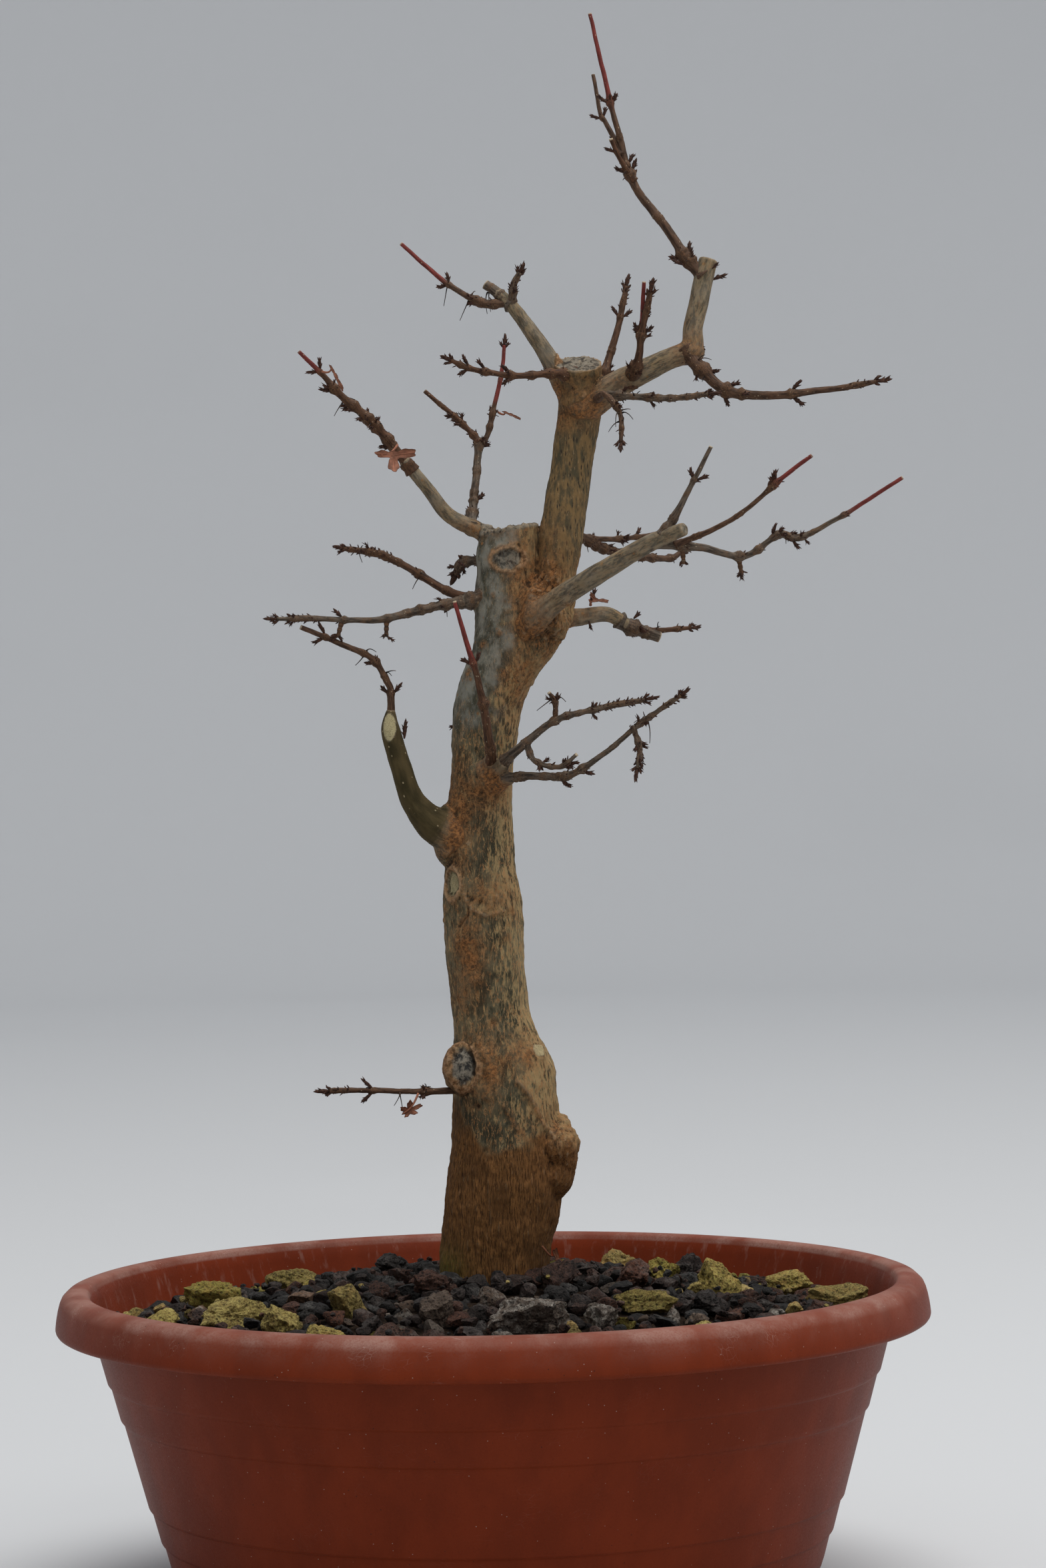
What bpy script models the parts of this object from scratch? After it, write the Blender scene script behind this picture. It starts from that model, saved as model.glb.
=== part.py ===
"""Potted pre-bonsai maple in winter: a moulded bowl, a bed of grit with loose stones, and a leafless tree.

Blender 4.5, metres, +Z up.  The origin is the middle of the bowl's flat underside.
Lengths below are written in millimetres and turned into metres by mm().
"""

import math
import random

import bmesh
import bpy
from mathutils import Matrix, Vector, noise

# ---- driving dimensions, in millimetres -------------------------------------------------------------
POT_HEIGHT = 110.0
RIM_DIAMETER = 300.0        # over the skirt of the rolled lip
LIP_WIDTH = 11.5            # from the mouth's edge to the skirt
LIP_DEPTH = 14.0            # skirt of the lip, top to bottom
WALL = 2.6
FLOOR = 3.2
WALL_SLOPE = 0.27           # radius that the wall loses per unit of depth
STEP = 0.8                  # ledge of each moulded ring on the wall
STEP_PLACES = (0.33, 0.46, 0.78, 0.905)     # shares of the way from the lip's top to the wall's lower corner
CORNER_HEIGHT = 15.0        # above the foot, where the wall turns in towards the base
CORNER_TURN = 18.0          # radius lost between that corner and the flat that the bowl stands on
POT_SIDES = 64

BED_EDGE_DEPTH = 14.5       # grit below the lip, at the wall
BED_RISE = 19.0             # how far the grit is mounded up at the trunk
TRUNK_FOOT_RADIUS = 18.5
ROOT_CROWN_DEPTH = 27.0     # how far the root crown reaches below the mound
ROOT_CROWN_SPREAD = 5.0     # extra radius of the root crown at its bottom
GAP = 0.3                   # between pieces that touch
SOCKET_GAP = 0.45           # round a piece bedded in the grit

STONE_LAYOUT = 134.0        # radius of the bed that the stones are laid out for; on another they keep proportion
STONE_SINK = 0.38           # share of a stone's height that is bedded in the grit
STONE_SEED = 11
SCATTERED_LAVA = 10         # lumps of lava spread over what the placed stones leave free
LAVA_SIZES = (9.0, 14.0)
LEAF_THICKNESS = 0.5

TRUNK_SIDES = 8             # bevel resolution: sides = 4 + 2 x this
LIMB_SIDES = 3
TWIG_SIDES = 1

# ---- the tree: stations are (x, y, height above the lip, radius), in millimetres ---------------------
# The trunk leans right above the burl, draws in over it, and swells again under its fork.
TRUNK = (
    (1, 0, 11, 18.6), (4, 0, 27, 19.8), (6, 0, 40, 20.4), (7, 0, 52, 20.0), (6, 0, 62, 19.2),
    (4, 0, 74, 18.0), (3, 0, 83, 15.2), (1, 0, 93, 13.6), (0, 0, 106, 13.5), (-1, 0, 121, 13.8),
    (-2, 0, 133, 13.0), (-2, 0, 147, 11.9), (-1, 0, 166, 11.3), (0, 0, 178, 10.7), (2, 0, 195, 11.6),
    (6, 0, 208, 13.0), (9, 0, 216, 13.0),
)
STUB = ((6, 0, 208, 12.0), (10, 1, 224, 11.8), (11, 1, 236, 11.2), (11, 1, 248, 10.4), (12, 1, 258, 10.2))
LEADER = (
    (8, 0, 206, 11.0), (16, -2, 219, 11.4), (23, -3, 230, 9.8), (27, -2, 241, 8.2), (29, 0, 255, 7.6),
    (31, 2, 271, 7.2), (34, 3, 284, 7.3), (36, 3, 298, 7.6), (35, 2, 307, 8.2), (35, -1, 314, 8.6),
)

# Lumps grown on the wood: (x, y, z), (half sizes)
LUMPS = {
    "burl": ((22, -4, 46), (9, 10, 9)),
    "scar_callus": ((-9, -11, 73), (6, 6, 8)),
    "branch_boss": ((2, -8, 173), (8, 6, 7)),
    "left_joint": ((-12, -2, 153), (6, 8, 11)),
    "fork_collar": ((20, -4, 230), (9, 9, 10)),
    "right_knob": ((74, -4, 317), (5, 4.5, 4.5)),
}

# Limbs and twigs, each from inside its parent outwards.
LIMBS = {
    "left_cut_branch": ((-6, -2, 152, 8), (-16, -5, 156, 6.4), (-24, -6, 165, 4.2), (-28, -6, 177, 3.6),
                        (-31, -6, 189, 3.3), (-32, -6, 194, 3.0)),
    "left_high": ((8, 2, 252, 4.6), (1, 2, 257, 2.9), (-10, 1, 263, 2.4), (-17, -1, 272, 2.1), (-25, -3, 282, 1.9),
                  (-32, -5, 291, 1.7), (-39, -7, 298, 1.6), (-46, -9, 304, 1.4), (-52, -10, 311, 1.0),
                  (-60, -12, 319, 0.7)),
    "top_left": ((33, 1, 302, 4.4), (25, 1, 317, 2.9), (18, 4, 328, 2.4), (13, 6, 335, 2.1), (8, 8, 340, 2.0),
                 (4, 9, 343, 1.8)),
    "right_heavy": ((36, 0, 298, 6.0), (50, -2, 307, 4.7), (65, -4, 314, 3.8), (74, -4, 318, 3.9), (75, -3, 325, 3.4),
                    (77, -2, 333, 3.4), (79, -1, 342, 3.4), (81, 0, 349, 3.4)),
    "right_front": ((16, -6, 223, 6.0), (22, -16, 229, 4.4), (29, -22, 234, 3.8), (43, -34, 242, 3.4),
                    (58, -46, 250, 2.9), (69, -54, 254, 2.2)),
    "right_low_stub": ((24, -1, 227, 5.0), (33, 2, 227, 3.1), (44, 6, 228, 2.6), (51, 9, 224, 2.4), (62, 12, 220, 2.1)),
}
TWIGS = {
    "low_left": ((-8, -8, 66, 1.6), (-21, -12, 66, 1.1), (-39, -15, 67, 1.0), (-54, -17, 67, 0.8)),
    "left_cut_tip": ((-31, -6, 192, 1.6), (-31, -6, 202, 1.3), (-32, -7, 206, 1.2), (-37, -9, 214, 1.1),
                     (-47, -12, 219, 1.1), (-61, -15, 225, 0.9)),
    "front": ((2, -8, 176, 2.6), (3, -19, 181, 1.9), (1, -26, 196, 1.5), (-2, -30, 210, 1.1), (-8, -35, 232, 0.7)),
    "front_upper": ((3, -9, 174, 2.6), (11, -24, 181, 1.8), (16, -28, 185, 1.5), (26, -33, 192, 1.2),
                    (39, -37, 195, 0.9), (55, -41, 198, 0.7)),
    "front_upper_shoot": ((25, -32, 191, 0.9), (25, -34, 198, 0.8), (23, -35, 201, 0.7)),
    "front_middle": ((15, -27, 184, 1.1), (18, -30, 178, 0.9), (26, -35, 176, 0.8), (32, -38, 180, 0.7)),
    "front_lower": ((4, -8, 171, 2.6), (13, -22, 173, 1.6), (29, -30, 173, 1.3), (41, -34, 180, 1.0),
                    (55, -38, 191, 0.9), (67, -42, 199, 0.7)),
    "front_lower_drop": ((51, -37, 189, 0.7), (53, -40, 181, 0.7), (52, -42, 175, 0.6)),
    "left_pair": ((6, -1, 235, 3.0), (-6, -4, 233, 2.3)),
    "left_pair_low": ((-3, -3, 233, 2.2), (-13, -6, 232, 1.6), (-30, -10, 228, 1.4), (-40, -12, 227, 1.1),
                      (-58, -15, 228, 0.9), (-69, -17, 228, 0.7)),
    "left_pair_high": ((-3, -3, 234, 1.9), (-11, 0, 237, 1.6), (-31, 8, 249, 1.2), (-47, 12, 253, 0.8)),
    "left_short": ((6, 3, 247, 2.0), (-5, 6, 247, 1.4), (-8, 8, 243, 1.1)),
    "high_fork": ((-2, 1, 258, 2.2), (-2, 10, 264, 1.7), (-1, 15, 273, 1.5), (1, 22, 290, 1.4)),
    "high_fork_left": ((1, 21, 289, 1.3), (-4, 24, 295, 1.0), (-18, 29, 308, 0.8)),
    "high_fork_right": ((1, 21, 289, 1.3), (4, 24, 293, 1.0), (9, 30, 314, 0.8), (10, 32, 324, 0.7)),
    "top_left_tip": ((13, 6, 336, 1.6), (4, 7, 336, 1.3), (-4, 9, 340, 1.1), (-13, 11, 347, 0.9), (-25, 13, 358, 0.7)),
    "top_left_short": ((13, 6, 335, 1.2), (14, 3, 342, 1.0), (16, 2, 346, 0.8)),
    "crown_left": ((34, -3, 310, 2.2), (26, -10, 310, 1.4), (13, -16, 309, 1.1), (0, -20, 311, 1.0), (-8, -23, 314, 0.8)),
    "crown_back": ((42, 0, 302, 2.6), (46, 7, 315, 1.5), (50, 12, 328, 1.2), (53, 16, 342, 0.8)),
    "crown_front": ((53, -3, 307, 2.6), (56, -11, 315, 1.5), (57, -16, 322, 1.2), (60, -20, 336, 0.9)),
    "crown_front_thin": ((57, -15, 321, 1.0), (58, -18, 340, 0.7)),
    "crown_drop": ((41, -2, 301, 2.0), (44, -16, 302, 1.1), (49, -22, 295, 0.9), (49, -25, 285, 0.7)),
    "crown_low": ((45, -2, 303, 2.0), (49, -12, 302, 1.4), (66, -19, 300, 1.0), (79, -23, 301, 0.8)),
    "top": ((79, -1, 343, 2.6), (73, 0, 350, 1.9), (67, 2, 360, 1.7), (56, 5, 376, 1.5), (51, 7, 394, 1.1),
            (47, 9, 412, 0.9), (42, 11, 436, 0.7)),
    "top_front": ((56, 5, 377, 1.2), (52, 3, 383, 0.9), (48, 0, 391, 0.8)),
    "top_back": ((52, 6, 386, 1.1), (47, 12, 398, 0.9), (45, 14, 402, 0.8), (43, 18, 416, 0.7)),
    "right_long": ((73, -4, 317, 3.2), (77, -8, 311, 2.3), (88, -12, 302, 1.9), (109, -17, 301, 1.4),
                   (128, -21, 303, 1.0), (136, -22, 304, 0.8)),
    "right_front_up": ((62, -49, 252, 1.9), (69, -52, 264, 1.1), (78, -55, 281, 0.7)),
    "right_front_long": ((58, -46, 250, 2.2), (75, -44, 248, 1.4), (89, -40, 245, 1.2), (101, -41, 252, 1.0),
                         (108, -42, 251, 1.0), (124, -44, 259, 0.8), (142, -47, 270, 0.7)),
    "right_front_second": ((66, -46, 249, 1.2), (85, -52, 257, 0.9), (104, -58, 272, 0.8), (111, -60, 277, 0.7)),
    "right_back": ((28, 3, 256, 2.4), (36, 10, 255, 1.7), (44, 18, 251, 1.5), (65, 34, 248, 1.2), (72, 38, 251, 0.9)),
    "right_back_high": ((35, 9, 254, 1.2), (52, 24, 255, 0.9), (64, 32, 257, 0.7)),
    "right_low_shoot": ((58, 11, 222, 1.2), (73, 16, 223, 0.7)),
}

# Loose stones on the grit: (kind, x, y, length, width, height, turn in degrees), in millimetres
PLACED_STONES = (
    ("pumice", -96, 8, 23, 14, 14, 20), ("pumice", -87, -33, 26, 15, 12, 25), ("pumice", -72, 42, 22, 12, 11, -20),
    ("pumice", -70, -62, 18, 14, 14, 80), ("pumice", -48, -44, 18, 13, 14, 50), ("pumice", -54, -84, 17, 13, 9, 10),
    ("pumice", -112, -22, 16, 12, 9, -30), ("pumice", 44, 78, 22, 15, 14, 5), ("pumice", 78, 4, 19, 15, 16, 30),
    ("pumice", 52, -46, 24, 10, 9, -20), ("pumice", 104, 38, 19, 12, 12, -10), ("pumice", 120, 14, 24, 13, 12, -15),
    ("pumice", 60, 34, 12, 11, 11, 0), ("crusted", 12, -76, 30, 18, 15, -15), ("crusted", -18, -64, 14, 12, 14, 35),
    ("crusted", 36, -72, 15, 12, 11, 60), ("lava", 22, -24, 16, 12, 12, 70), ("lava", -34, 22, 15, 12, 11, 0),
    ("lava", 68, 68, 15, 13, 14, 15), ("lava", -20, -36, 16, 12, 12, 40), ("lava", 48, -12, 17, 13, 13, 110),
)

# Withered leaves: middle (x, y, z), blade (length, width), tilt of the blade (x, y, z turns in degrees),
# curl, number of lobes, and the point on the twig where the stalk is held.  Heights are above the lip,
# or above the grit for the leaf that lies on it.
LEAVES = {
    "leaf_high_left": ((-28, -13, 283), (15, 13), (80, 10, 15), 0.34, 5, (-27, -5.6, 287)),
    "leaf_high_tip": ((-47, -17, 310), (10, 5), (70, 60, 0), 0.55, 1, (-52, -11.6, 312)),
    "leaf_low_left": ((-27, -16.5, 60), (9, 6), (75, -25, 10), 0.5, 3, (-24, -14.6, 65.6)),
    "leaf_inner": ((12, 24, 299), (7, 4), (60, 20, 0), 0.5, 1, (7.6, 26.6, 300)),
    "leaf_right_low": ((40, -2.5, 233), (8, 6), (60, 0, 0), 0.6, 3, (38, 1.6, 231.2)),
    "leaf_on_grit": ((TRUNK_FOOT_RADIUS + 4.5, -11.5, 4.2), (12, 9), (50, 25, 35), 0.45, 3, None),
}

COLOURS = {                 # linear colour, roughness
    "plastic": ((0.165, 0.045, 0.024), 0.55),
    "grit": ((0.030, 0.023, 0.018), 0.90),
    "bark": ((0.120, 0.085, 0.050), 0.85),
    "pumice": ((0.330, 0.240, 0.090), 0.90),
    "crusted": ((0.160, 0.120, 0.090), 0.90),
    "lava": ((0.028, 0.024, 0.022), 0.85),
    "leaf": ((0.210, 0.110, 0.065), 0.75),
}


def mm(value):
    return value * 0.001


def point(x, y, z):
    return Vector((mm(x), mm(y), mm(z)))


# ---- helpers ----------------------------------------------------------------------------------------
def clear_scene():
    for obj in list(bpy.data.objects):
        bpy.data.objects.remove(obj, do_unlink=True)


def collection(name):
    made = bpy.data.collections.new(name)
    bpy.context.scene.collection.children.link(made)
    return made


def material(kind):
    made = bpy.data.materials.get(kind)
    if made is None:
        colour, roughness = COLOURS[kind]
        made = bpy.data.materials.new(kind)
        made.use_nodes = True
        shader = made.node_tree.nodes["Principled BSDF"]
        shader.inputs["Base Color"].default_value = (*colour, 1.0)
        shader.inputs["Roughness"].default_value = roughness
        shader.inputs["Metallic"].default_value = 0.0
    return made


def new_object(name, mesh, home, kind=None):
    obj = bpy.data.objects.new(name, mesh)
    home.objects.link(obj)
    if kind:
        mesh.materials.clear()
        mesh.materials.append(material(kind))
        mesh.shade_smooth()
        mesh.set_sharp_from_angle(angle=math.radians(40))
    else:
        obj.hide_render = True
        obj.display_type = "WIRE"
    return obj


def object_from_bmesh(name, bm, home, kind=None):
    bmesh.ops.recalc_face_normals(bm, faces=bm.faces)
    mesh = bpy.data.meshes.new(name)
    bm.to_mesh(mesh)
    bm.free()
    return new_object(name, mesh, home, kind)


def from_lip(stations):
    """Stations given above the lip, raised to heights above the bowl's foot."""
    return tuple((x, y, z + POT_HEIGHT, radius) for x, y, z, radius in stations)


def tube(name, stations, sides, home, kind=None):
    """A capped round tube through the stations, made a closed mesh."""
    curve = bpy.data.curves.new(name, "CURVE")
    curve.dimensions = "3D"
    curve.bevel_depth = mm(1)
    curve.bevel_resolution = sides
    curve.use_fill_caps = True
    spline = curve.splines.new("POLY")
    spline.points.add(len(stations) - 1)
    for knot, (x, y, z, radius) in zip(spline.points, stations):
        knot.co = (*point(x, y, z), 1)
        knot.radius = radius
    holder = bpy.data.objects.new(name, curve)
    home.objects.link(holder)
    bpy.context.view_layer.update()
    mesh = bpy.data.meshes.new_from_object(holder.evaluated_get(bpy.context.evaluated_depsgraph_get()))
    bpy.data.objects.remove(holder, do_unlink=True)
    bm = bmesh.new()
    bm.from_mesh(mesh)
    bmesh.ops.remove_doubles(bm, verts=bm.verts, dist=1e-6)
    bpy.data.meshes.remove(mesh)
    return object_from_bmesh(name, bm, home, kind)


def turned(name, profile, home, kind):
    """A solid of revolution: the profile starts and ends on the axis and runs down its outer side."""
    bm = bmesh.new()
    corners = [bm.verts.new(point(r, 0, z)) for r, z in profile]
    for a, b in zip(corners, corners[1:]):
        bm.edges.new((a, b))
    mesh = bpy.data.meshes.new(name)
    bm.to_mesh(mesh)
    bm.free()
    obj = new_object(name, mesh, home, kind)
    screw = obj.modifiers.new("turned", "SCREW")
    screw.steps = POT_SIDES
    screw.render_steps = POT_SIDES
    screw.use_merge_vertices = True
    screw.merge_threshold = 1e-5
    screw.use_smooth_shade = True
    return obj


def boolean(obj, operation, tools):
    cut = obj.modifiers.new(operation.lower(), "BOOLEAN")
    cut.operation = operation
    cut.solver = "EXACT"
    cut.operand_type = "COLLECTION"
    cut.collection = tools


# ---- the bowl ---------------------------------------------------------------------------------------
MOUTH = RIM_DIAMETER / 2 - LIP_WIDTH
CORNER_DEPTH = POT_HEIGHT - CORNER_HEIGHT
STEP_DEPTHS = tuple(place * CORNER_DEPTH for place in STEP_PLACES)


def outer_radius(depth):
    """Radius of the wall's outside at a depth below the lip, its moulded steps included."""
    return MOUTH + WALL - WALL_SLOPE * depth - STEP * sum(1 for edge in STEP_DEPTHS if depth > edge)


def inner_radius(depth):
    """Radius of the wall's inside, a plain cone that keeps clear of the steps."""
    return MOUTH - (WALL_SLOPE + STEP * len(STEP_DEPTHS) / POT_HEIGHT) * depth


CORNER = outer_radius(CORNER_DEPTH)
INSIDE_CORNER = inner_radius(CORNER_DEPTH - 6)
BASE = CORNER - CORNER_TURN


def inside_turn(gap=0.0):
    """The inside from the middle of the floor to the foot of the wall, drawn in by the gap."""
    return [(0, FLOOR + gap), (BASE - 6 - gap, FLOOR + gap), (BASE + 4 - gap, FLOOR + 3 + gap),
            (INSIDE_CORNER - 4 - gap, CORNER_HEIGHT - 1 + gap), (INSIDE_CORNER - gap, CORNER_HEIGHT + 6 + gap)]


def pot_profile():
    rim = RIM_DIAMETER / 2
    skirt = rim - WALL
    lip = [(MOUTH - 0.2, -2.0), (MOUTH + 0.8, -0.5), (MOUTH + 2.6, 0.0), (MOUTH + 6.0, -0.3), (rim - 3.2, -1.6),
           (rim - 1.5, -4.2), (rim - 0.4, -9.0), (rim, -LIP_DEPTH + 1.6), (rim - 0.5, -LIP_DEPTH + 0.3),
           (rim - 1.4, -LIP_DEPTH), (skirt, -LIP_DEPTH + 0.4), (skirt - 0.5, -9.0),
           (skirt - 1.6, -5.6), (skirt - 3.0, -WALL - 1.2), (MOUTH + WALL + 2.6, -WALL - 1.0)]
    inside = inside_turn() + [(inner_radius(depth), POT_HEIGHT - depth) for depth in (60, 30, 6)]
    wall = [(outer_radius(10), POT_HEIGHT - 10)]
    for edge in STEP_DEPTHS:
        wall += [(outer_radius(edge), POT_HEIGHT - edge), (outer_radius(edge + 0.6), POT_HEIGHT - edge - 0.6)]
    turn = [(CORNER, CORNER_HEIGHT), (CORNER - 4, 8.5), (BASE + 5, 3.0), (BASE + 1.2, 0.5), (BASE, 0), (0, 0)]
    return inside + [(r, POT_HEIGHT + z) for r, z in lip] + wall + turn


def make_pot(home):
    return turned("pot", pot_profile(), home, "plastic")


# ---- the grit ---------------------------------------------------------------------------------------
BED_REACH = inner_radius(BED_EDGE_DEPTH)


def bed_height(radius):
    """Top of the grit at a distance from the axis: a shallow cone."""
    share = min(max((BED_REACH - radius) / (BED_REACH - TRUNK_FOOT_RADIUS), 0), 1)
    return POT_HEIGHT - BED_EDGE_DEPTH + BED_RISE * share


def make_bed(home, sockets):
    edge = BED_REACH - GAP
    top = [(0, bed_height(0)), (TRUNK_FOOT_RADIUS, bed_height(0)), (edge, bed_height(edge))]
    half_way = POT_HEIGHT / 2
    wall = [(inner_radius(POT_HEIGHT - half_way) - GAP, half_way)]
    bed = turned("grit_bed", top + wall + inside_turn(GAP)[::-1], home, "grit")
    boolean(bed, "DIFFERENCE", sockets)
    return bed


# ---- the tree ---------------------------------------------------------------------------------------
def foot_stations(spare=0.0):
    """The root crown, from its bottom up to the grit's top; spare widens it for its socket."""
    top = bed_height(0)
    bottom = top - ROOT_CROWN_DEPTH
    wide = TRUNK_FOOT_RADIUS + ROOT_CROWN_SPREAD
    return ((0, 0, bottom - spare, wide + spare), (0, 0, bottom + 10, wide - 1 + spare),
            (0, 0, top - 6, TRUNK_FOOT_RADIUS + 0.8 + spare), (0, 0, top + 0.5, TRUNK_FOOT_RADIUS + spare))


def lump(name, middle, half, home):
    bm = bmesh.new()
    bmesh.ops.create_icosphere(bm, subdivisions=2, radius=1.0)
    bmesh.ops.scale(bm, vec=[mm(h) for h in half], verts=bm.verts)
    x, y, z = middle
    bmesh.ops.translate(bm, vec=point(x, y, z + POT_HEIGHT), verts=bm.verts)
    return object_from_bmesh(name, bm, home)


def make_tree(home, grown, sockets):
    tree = tube("tree", foot_stations() + from_lip(TRUNK), TRUNK_SIDES, home, kind="bark")
    tube("trunk_socket", foot_stations(SOCKET_GAP), TRUNK_SIDES, sockets)
    tube("stub", from_lip(STUB), TRUNK_SIDES - 2, grown)
    tube("leader", from_lip(LEADER), TRUNK_SIDES - 2, grown)
    for name, (middle, half) in LUMPS.items():
        lump(name, middle, half, grown)
    for name, stations in LIMBS.items():
        tube(name, from_lip(stations), LIMB_SIDES, grown)
    for name, stations in TWIGS.items():
        tube(name, from_lip(stations), TWIG_SIDES, grown)
    boolean(tree, "UNION", grown)
    return tree


# ---- the stones -------------------------------------------------------------------------------------
def stone_bmesh(size, turn, place, seed, grow=0.0):
    """A rough lump of the size (length, width, height), grown outwards all over by grow."""
    bm = bmesh.new()
    bmesh.ops.create_icosphere(bm, subdivisions=2, radius=0.5)
    shift = Vector((seed * 1.7, seed * 0.9, seed * 2.3))
    for v in bm.verts:
        v.co *= 0.93 + 0.22 * noise.noise(v.co * 2.6 + shift)
        v.co = Vector((v.co.x * size[0], v.co.y * size[1], v.co.z * size[2]))
    bm.normal_update()
    for v in bm.verts:
        v.co += v.normal * grow
    bmesh.ops.rotate(bm, matrix=Matrix.Rotation(math.radians(turn), 3, "Z"), verts=bm.verts)
    bmesh.ops.scale(bm, vec=[mm(1)] * 3, verts=bm.verts)
    bmesh.ops.translate(bm, vec=point(*place), verts=bm.verts)
    return bm


def scattered_stones(taken):
    """Seeded places for more lava, clear of the stones already down, the trunk and the wall."""
    rng = random.Random(STONE_SEED)
    found = []
    nearest = TRUNK_FOOT_RADIUS * STONE_LAYOUT / BED_REACH + 10
    while len(found) < SCATTERED_LAVA:
        length = rng.uniform(*LAVA_SIZES)
        radius = rng.uniform(nearest, STONE_LAYOUT - 12)
        angle = rng.uniform(0, math.tau)
        x, y = radius * math.cos(angle), radius * math.sin(angle)
        if all(math.hypot(x - s[1], y - s[2]) > (length + s[3]) * 0.55 + 2 for s in taken + found):
            found.append(("lava", x, y, length, length * 0.8, length * 0.75, math.degrees(angle)))
    return found


def make_stones(home, sockets):
    placed = list(PLACED_STONES)
    spread = BED_REACH / STONE_LAYOUT
    counts = {}
    for seed, (kind, *sizes, turn) in enumerate(placed + scattered_stones(placed)):
        counts[kind] = counts.get(kind, 0) + 1
        name = f"{kind}_stone_{counts[kind]:02d}"
        x, y, *size = (spread * value for value in sizes)
        z = bed_height(math.hypot(x, y)) + size[2] * (0.5 - STONE_SINK)
        object_from_bmesh(name, stone_bmesh(size, turn, (x, y, z), seed), home, kind)
        object_from_bmesh("socket_" + name, stone_bmesh(size, turn, (x, y, z), seed, SOCKET_GAP), sockets)


# ---- the leaves -------------------------------------------------------------------------------------
def blade_bmesh(length, width, curl, lobes):
    """An open leaf blade with its stalk end at the origin, running along +X and curled across its width."""
    bm = bmesh.new()
    rings, spokes = 2, 15
    middle = bm.verts.new((length * 0.45, 0, 0))
    rows = []
    for ring in range(1, rings + 1):
        row = []
        for i in range(spokes):
            angle = math.tau * i / spokes
            edge = 0.78 + 0.22 * math.cos(lobes * angle) if lobes > 1 else 1.0
            reach = edge * ring / rings
            x = length * (0.45 + 0.55 * reach * math.cos(angle))
            y = width * 0.5 * reach * math.sin(angle)
            z = curl * (width * (2 * y / width) ** 2 - 0.35 * length * (x / length) ** 2)
            row.append(bm.verts.new((x, y, z)))
        rows.append(row)
    for i in range(spokes):
        bm.faces.new((middle, rows[0][i], rows[0][(i + 1) % spokes]))
        for inside, outside in zip(rows, rows[1:]):
            bm.faces.new((inside[i], outside[i], outside[(i + 1) % spokes], inside[(i + 1) % spokes]))
    return bm


def make_leaf(name, home):
    middle, (length, width), turns, curl, lobes, hold = LEAVES[name]
    base = POT_HEIGHT if hold else bed_height(math.hypot(*middle[:2]))
    middle = Vector(middle) + Vector((0, 0, base))
    bm = blade_bmesh(length, width, curl, lobes)
    turn = Matrix.Rotation(math.radians(turns[2]), 4, "Z")
    turn = turn @ Matrix.Rotation(math.radians(turns[1]), 4, "Y") @ Matrix.Rotation(math.radians(turns[0]), 4, "X")
    bmesh.ops.translate(bm, vec=(-length * 0.45, 0, 0), verts=bm.verts)
    bmesh.ops.transform(bm, matrix=Matrix.Translation(middle) @ turn, verts=bm.verts)
    bmesh.ops.scale(bm, vec=[mm(1)] * 3, verts=bm.verts)
    leaf = object_from_bmesh(name, bm, home, "leaf")
    shell = leaf.modifiers.new("thickness", "SOLIDIFY")
    shell.thickness = mm(LEAF_THICKNESS)
    shell.offset = 0
    if hold:
        stalk = collection("stalk_of_" + name)
        start = middle + turn.to_3x3() @ Vector((-length * 0.30, 0, 0))
        end = Vector(hold) + Vector((0, 0, POT_HEIGHT))
        tube("stalk_" + name, ((*start, 0.45), (*end, 0.4)), 0, stalk)
        boolean(leaf, "UNION", stalk)
    return leaf


def main():
    clear_scene()
    home = collection("potted_maple")
    grown = collection("grown_together")
    sockets = collection("sockets")
    make_pot(home)
    make_tree(home, grown, sockets)
    make_stones(home, sockets)
    for name in LEAVES:
        make_leaf(name, home)
    make_bed(home, sockets)


main()
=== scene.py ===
"""Leafless young maple in a moulded bowl of grit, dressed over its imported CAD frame.

Everything is in metres in the frame's own space.  Lengths written in millimetres pass through MM,
and heights on the tree are given above the bowl's lip.
"""

import math
import random
from collections import namedtuple

import bmesh
import bpy
import numpy as np
from bpy.props import FloatProperty, FloatVectorProperty, IntProperty, PointerProperty
from mathutils import Matrix, Vector, noise


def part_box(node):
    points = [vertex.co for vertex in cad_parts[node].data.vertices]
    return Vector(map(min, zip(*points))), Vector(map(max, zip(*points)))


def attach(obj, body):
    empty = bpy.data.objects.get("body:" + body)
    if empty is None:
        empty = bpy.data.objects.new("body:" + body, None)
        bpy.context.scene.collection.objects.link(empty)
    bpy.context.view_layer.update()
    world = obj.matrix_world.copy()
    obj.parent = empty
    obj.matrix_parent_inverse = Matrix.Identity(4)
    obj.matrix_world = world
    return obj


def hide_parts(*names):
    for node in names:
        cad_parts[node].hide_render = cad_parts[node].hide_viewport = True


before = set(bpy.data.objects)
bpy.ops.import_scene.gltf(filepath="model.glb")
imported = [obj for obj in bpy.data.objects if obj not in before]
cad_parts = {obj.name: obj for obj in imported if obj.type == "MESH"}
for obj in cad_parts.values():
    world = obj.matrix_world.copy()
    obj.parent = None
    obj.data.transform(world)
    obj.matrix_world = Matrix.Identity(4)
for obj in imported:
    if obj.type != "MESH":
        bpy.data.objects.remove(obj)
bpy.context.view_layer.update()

bl_info = {
    "name": "Potted Maple",
    "version": (1, 0, 0),
    "blender": (4, 5, 0),
    "location": "3D View > Sidebar > Potted Maple",
    "description": "Builds a leafless maple in a bowl of lava and pumice grit over its CAD frame",
    "category": "Add Mesh",
}

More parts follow.
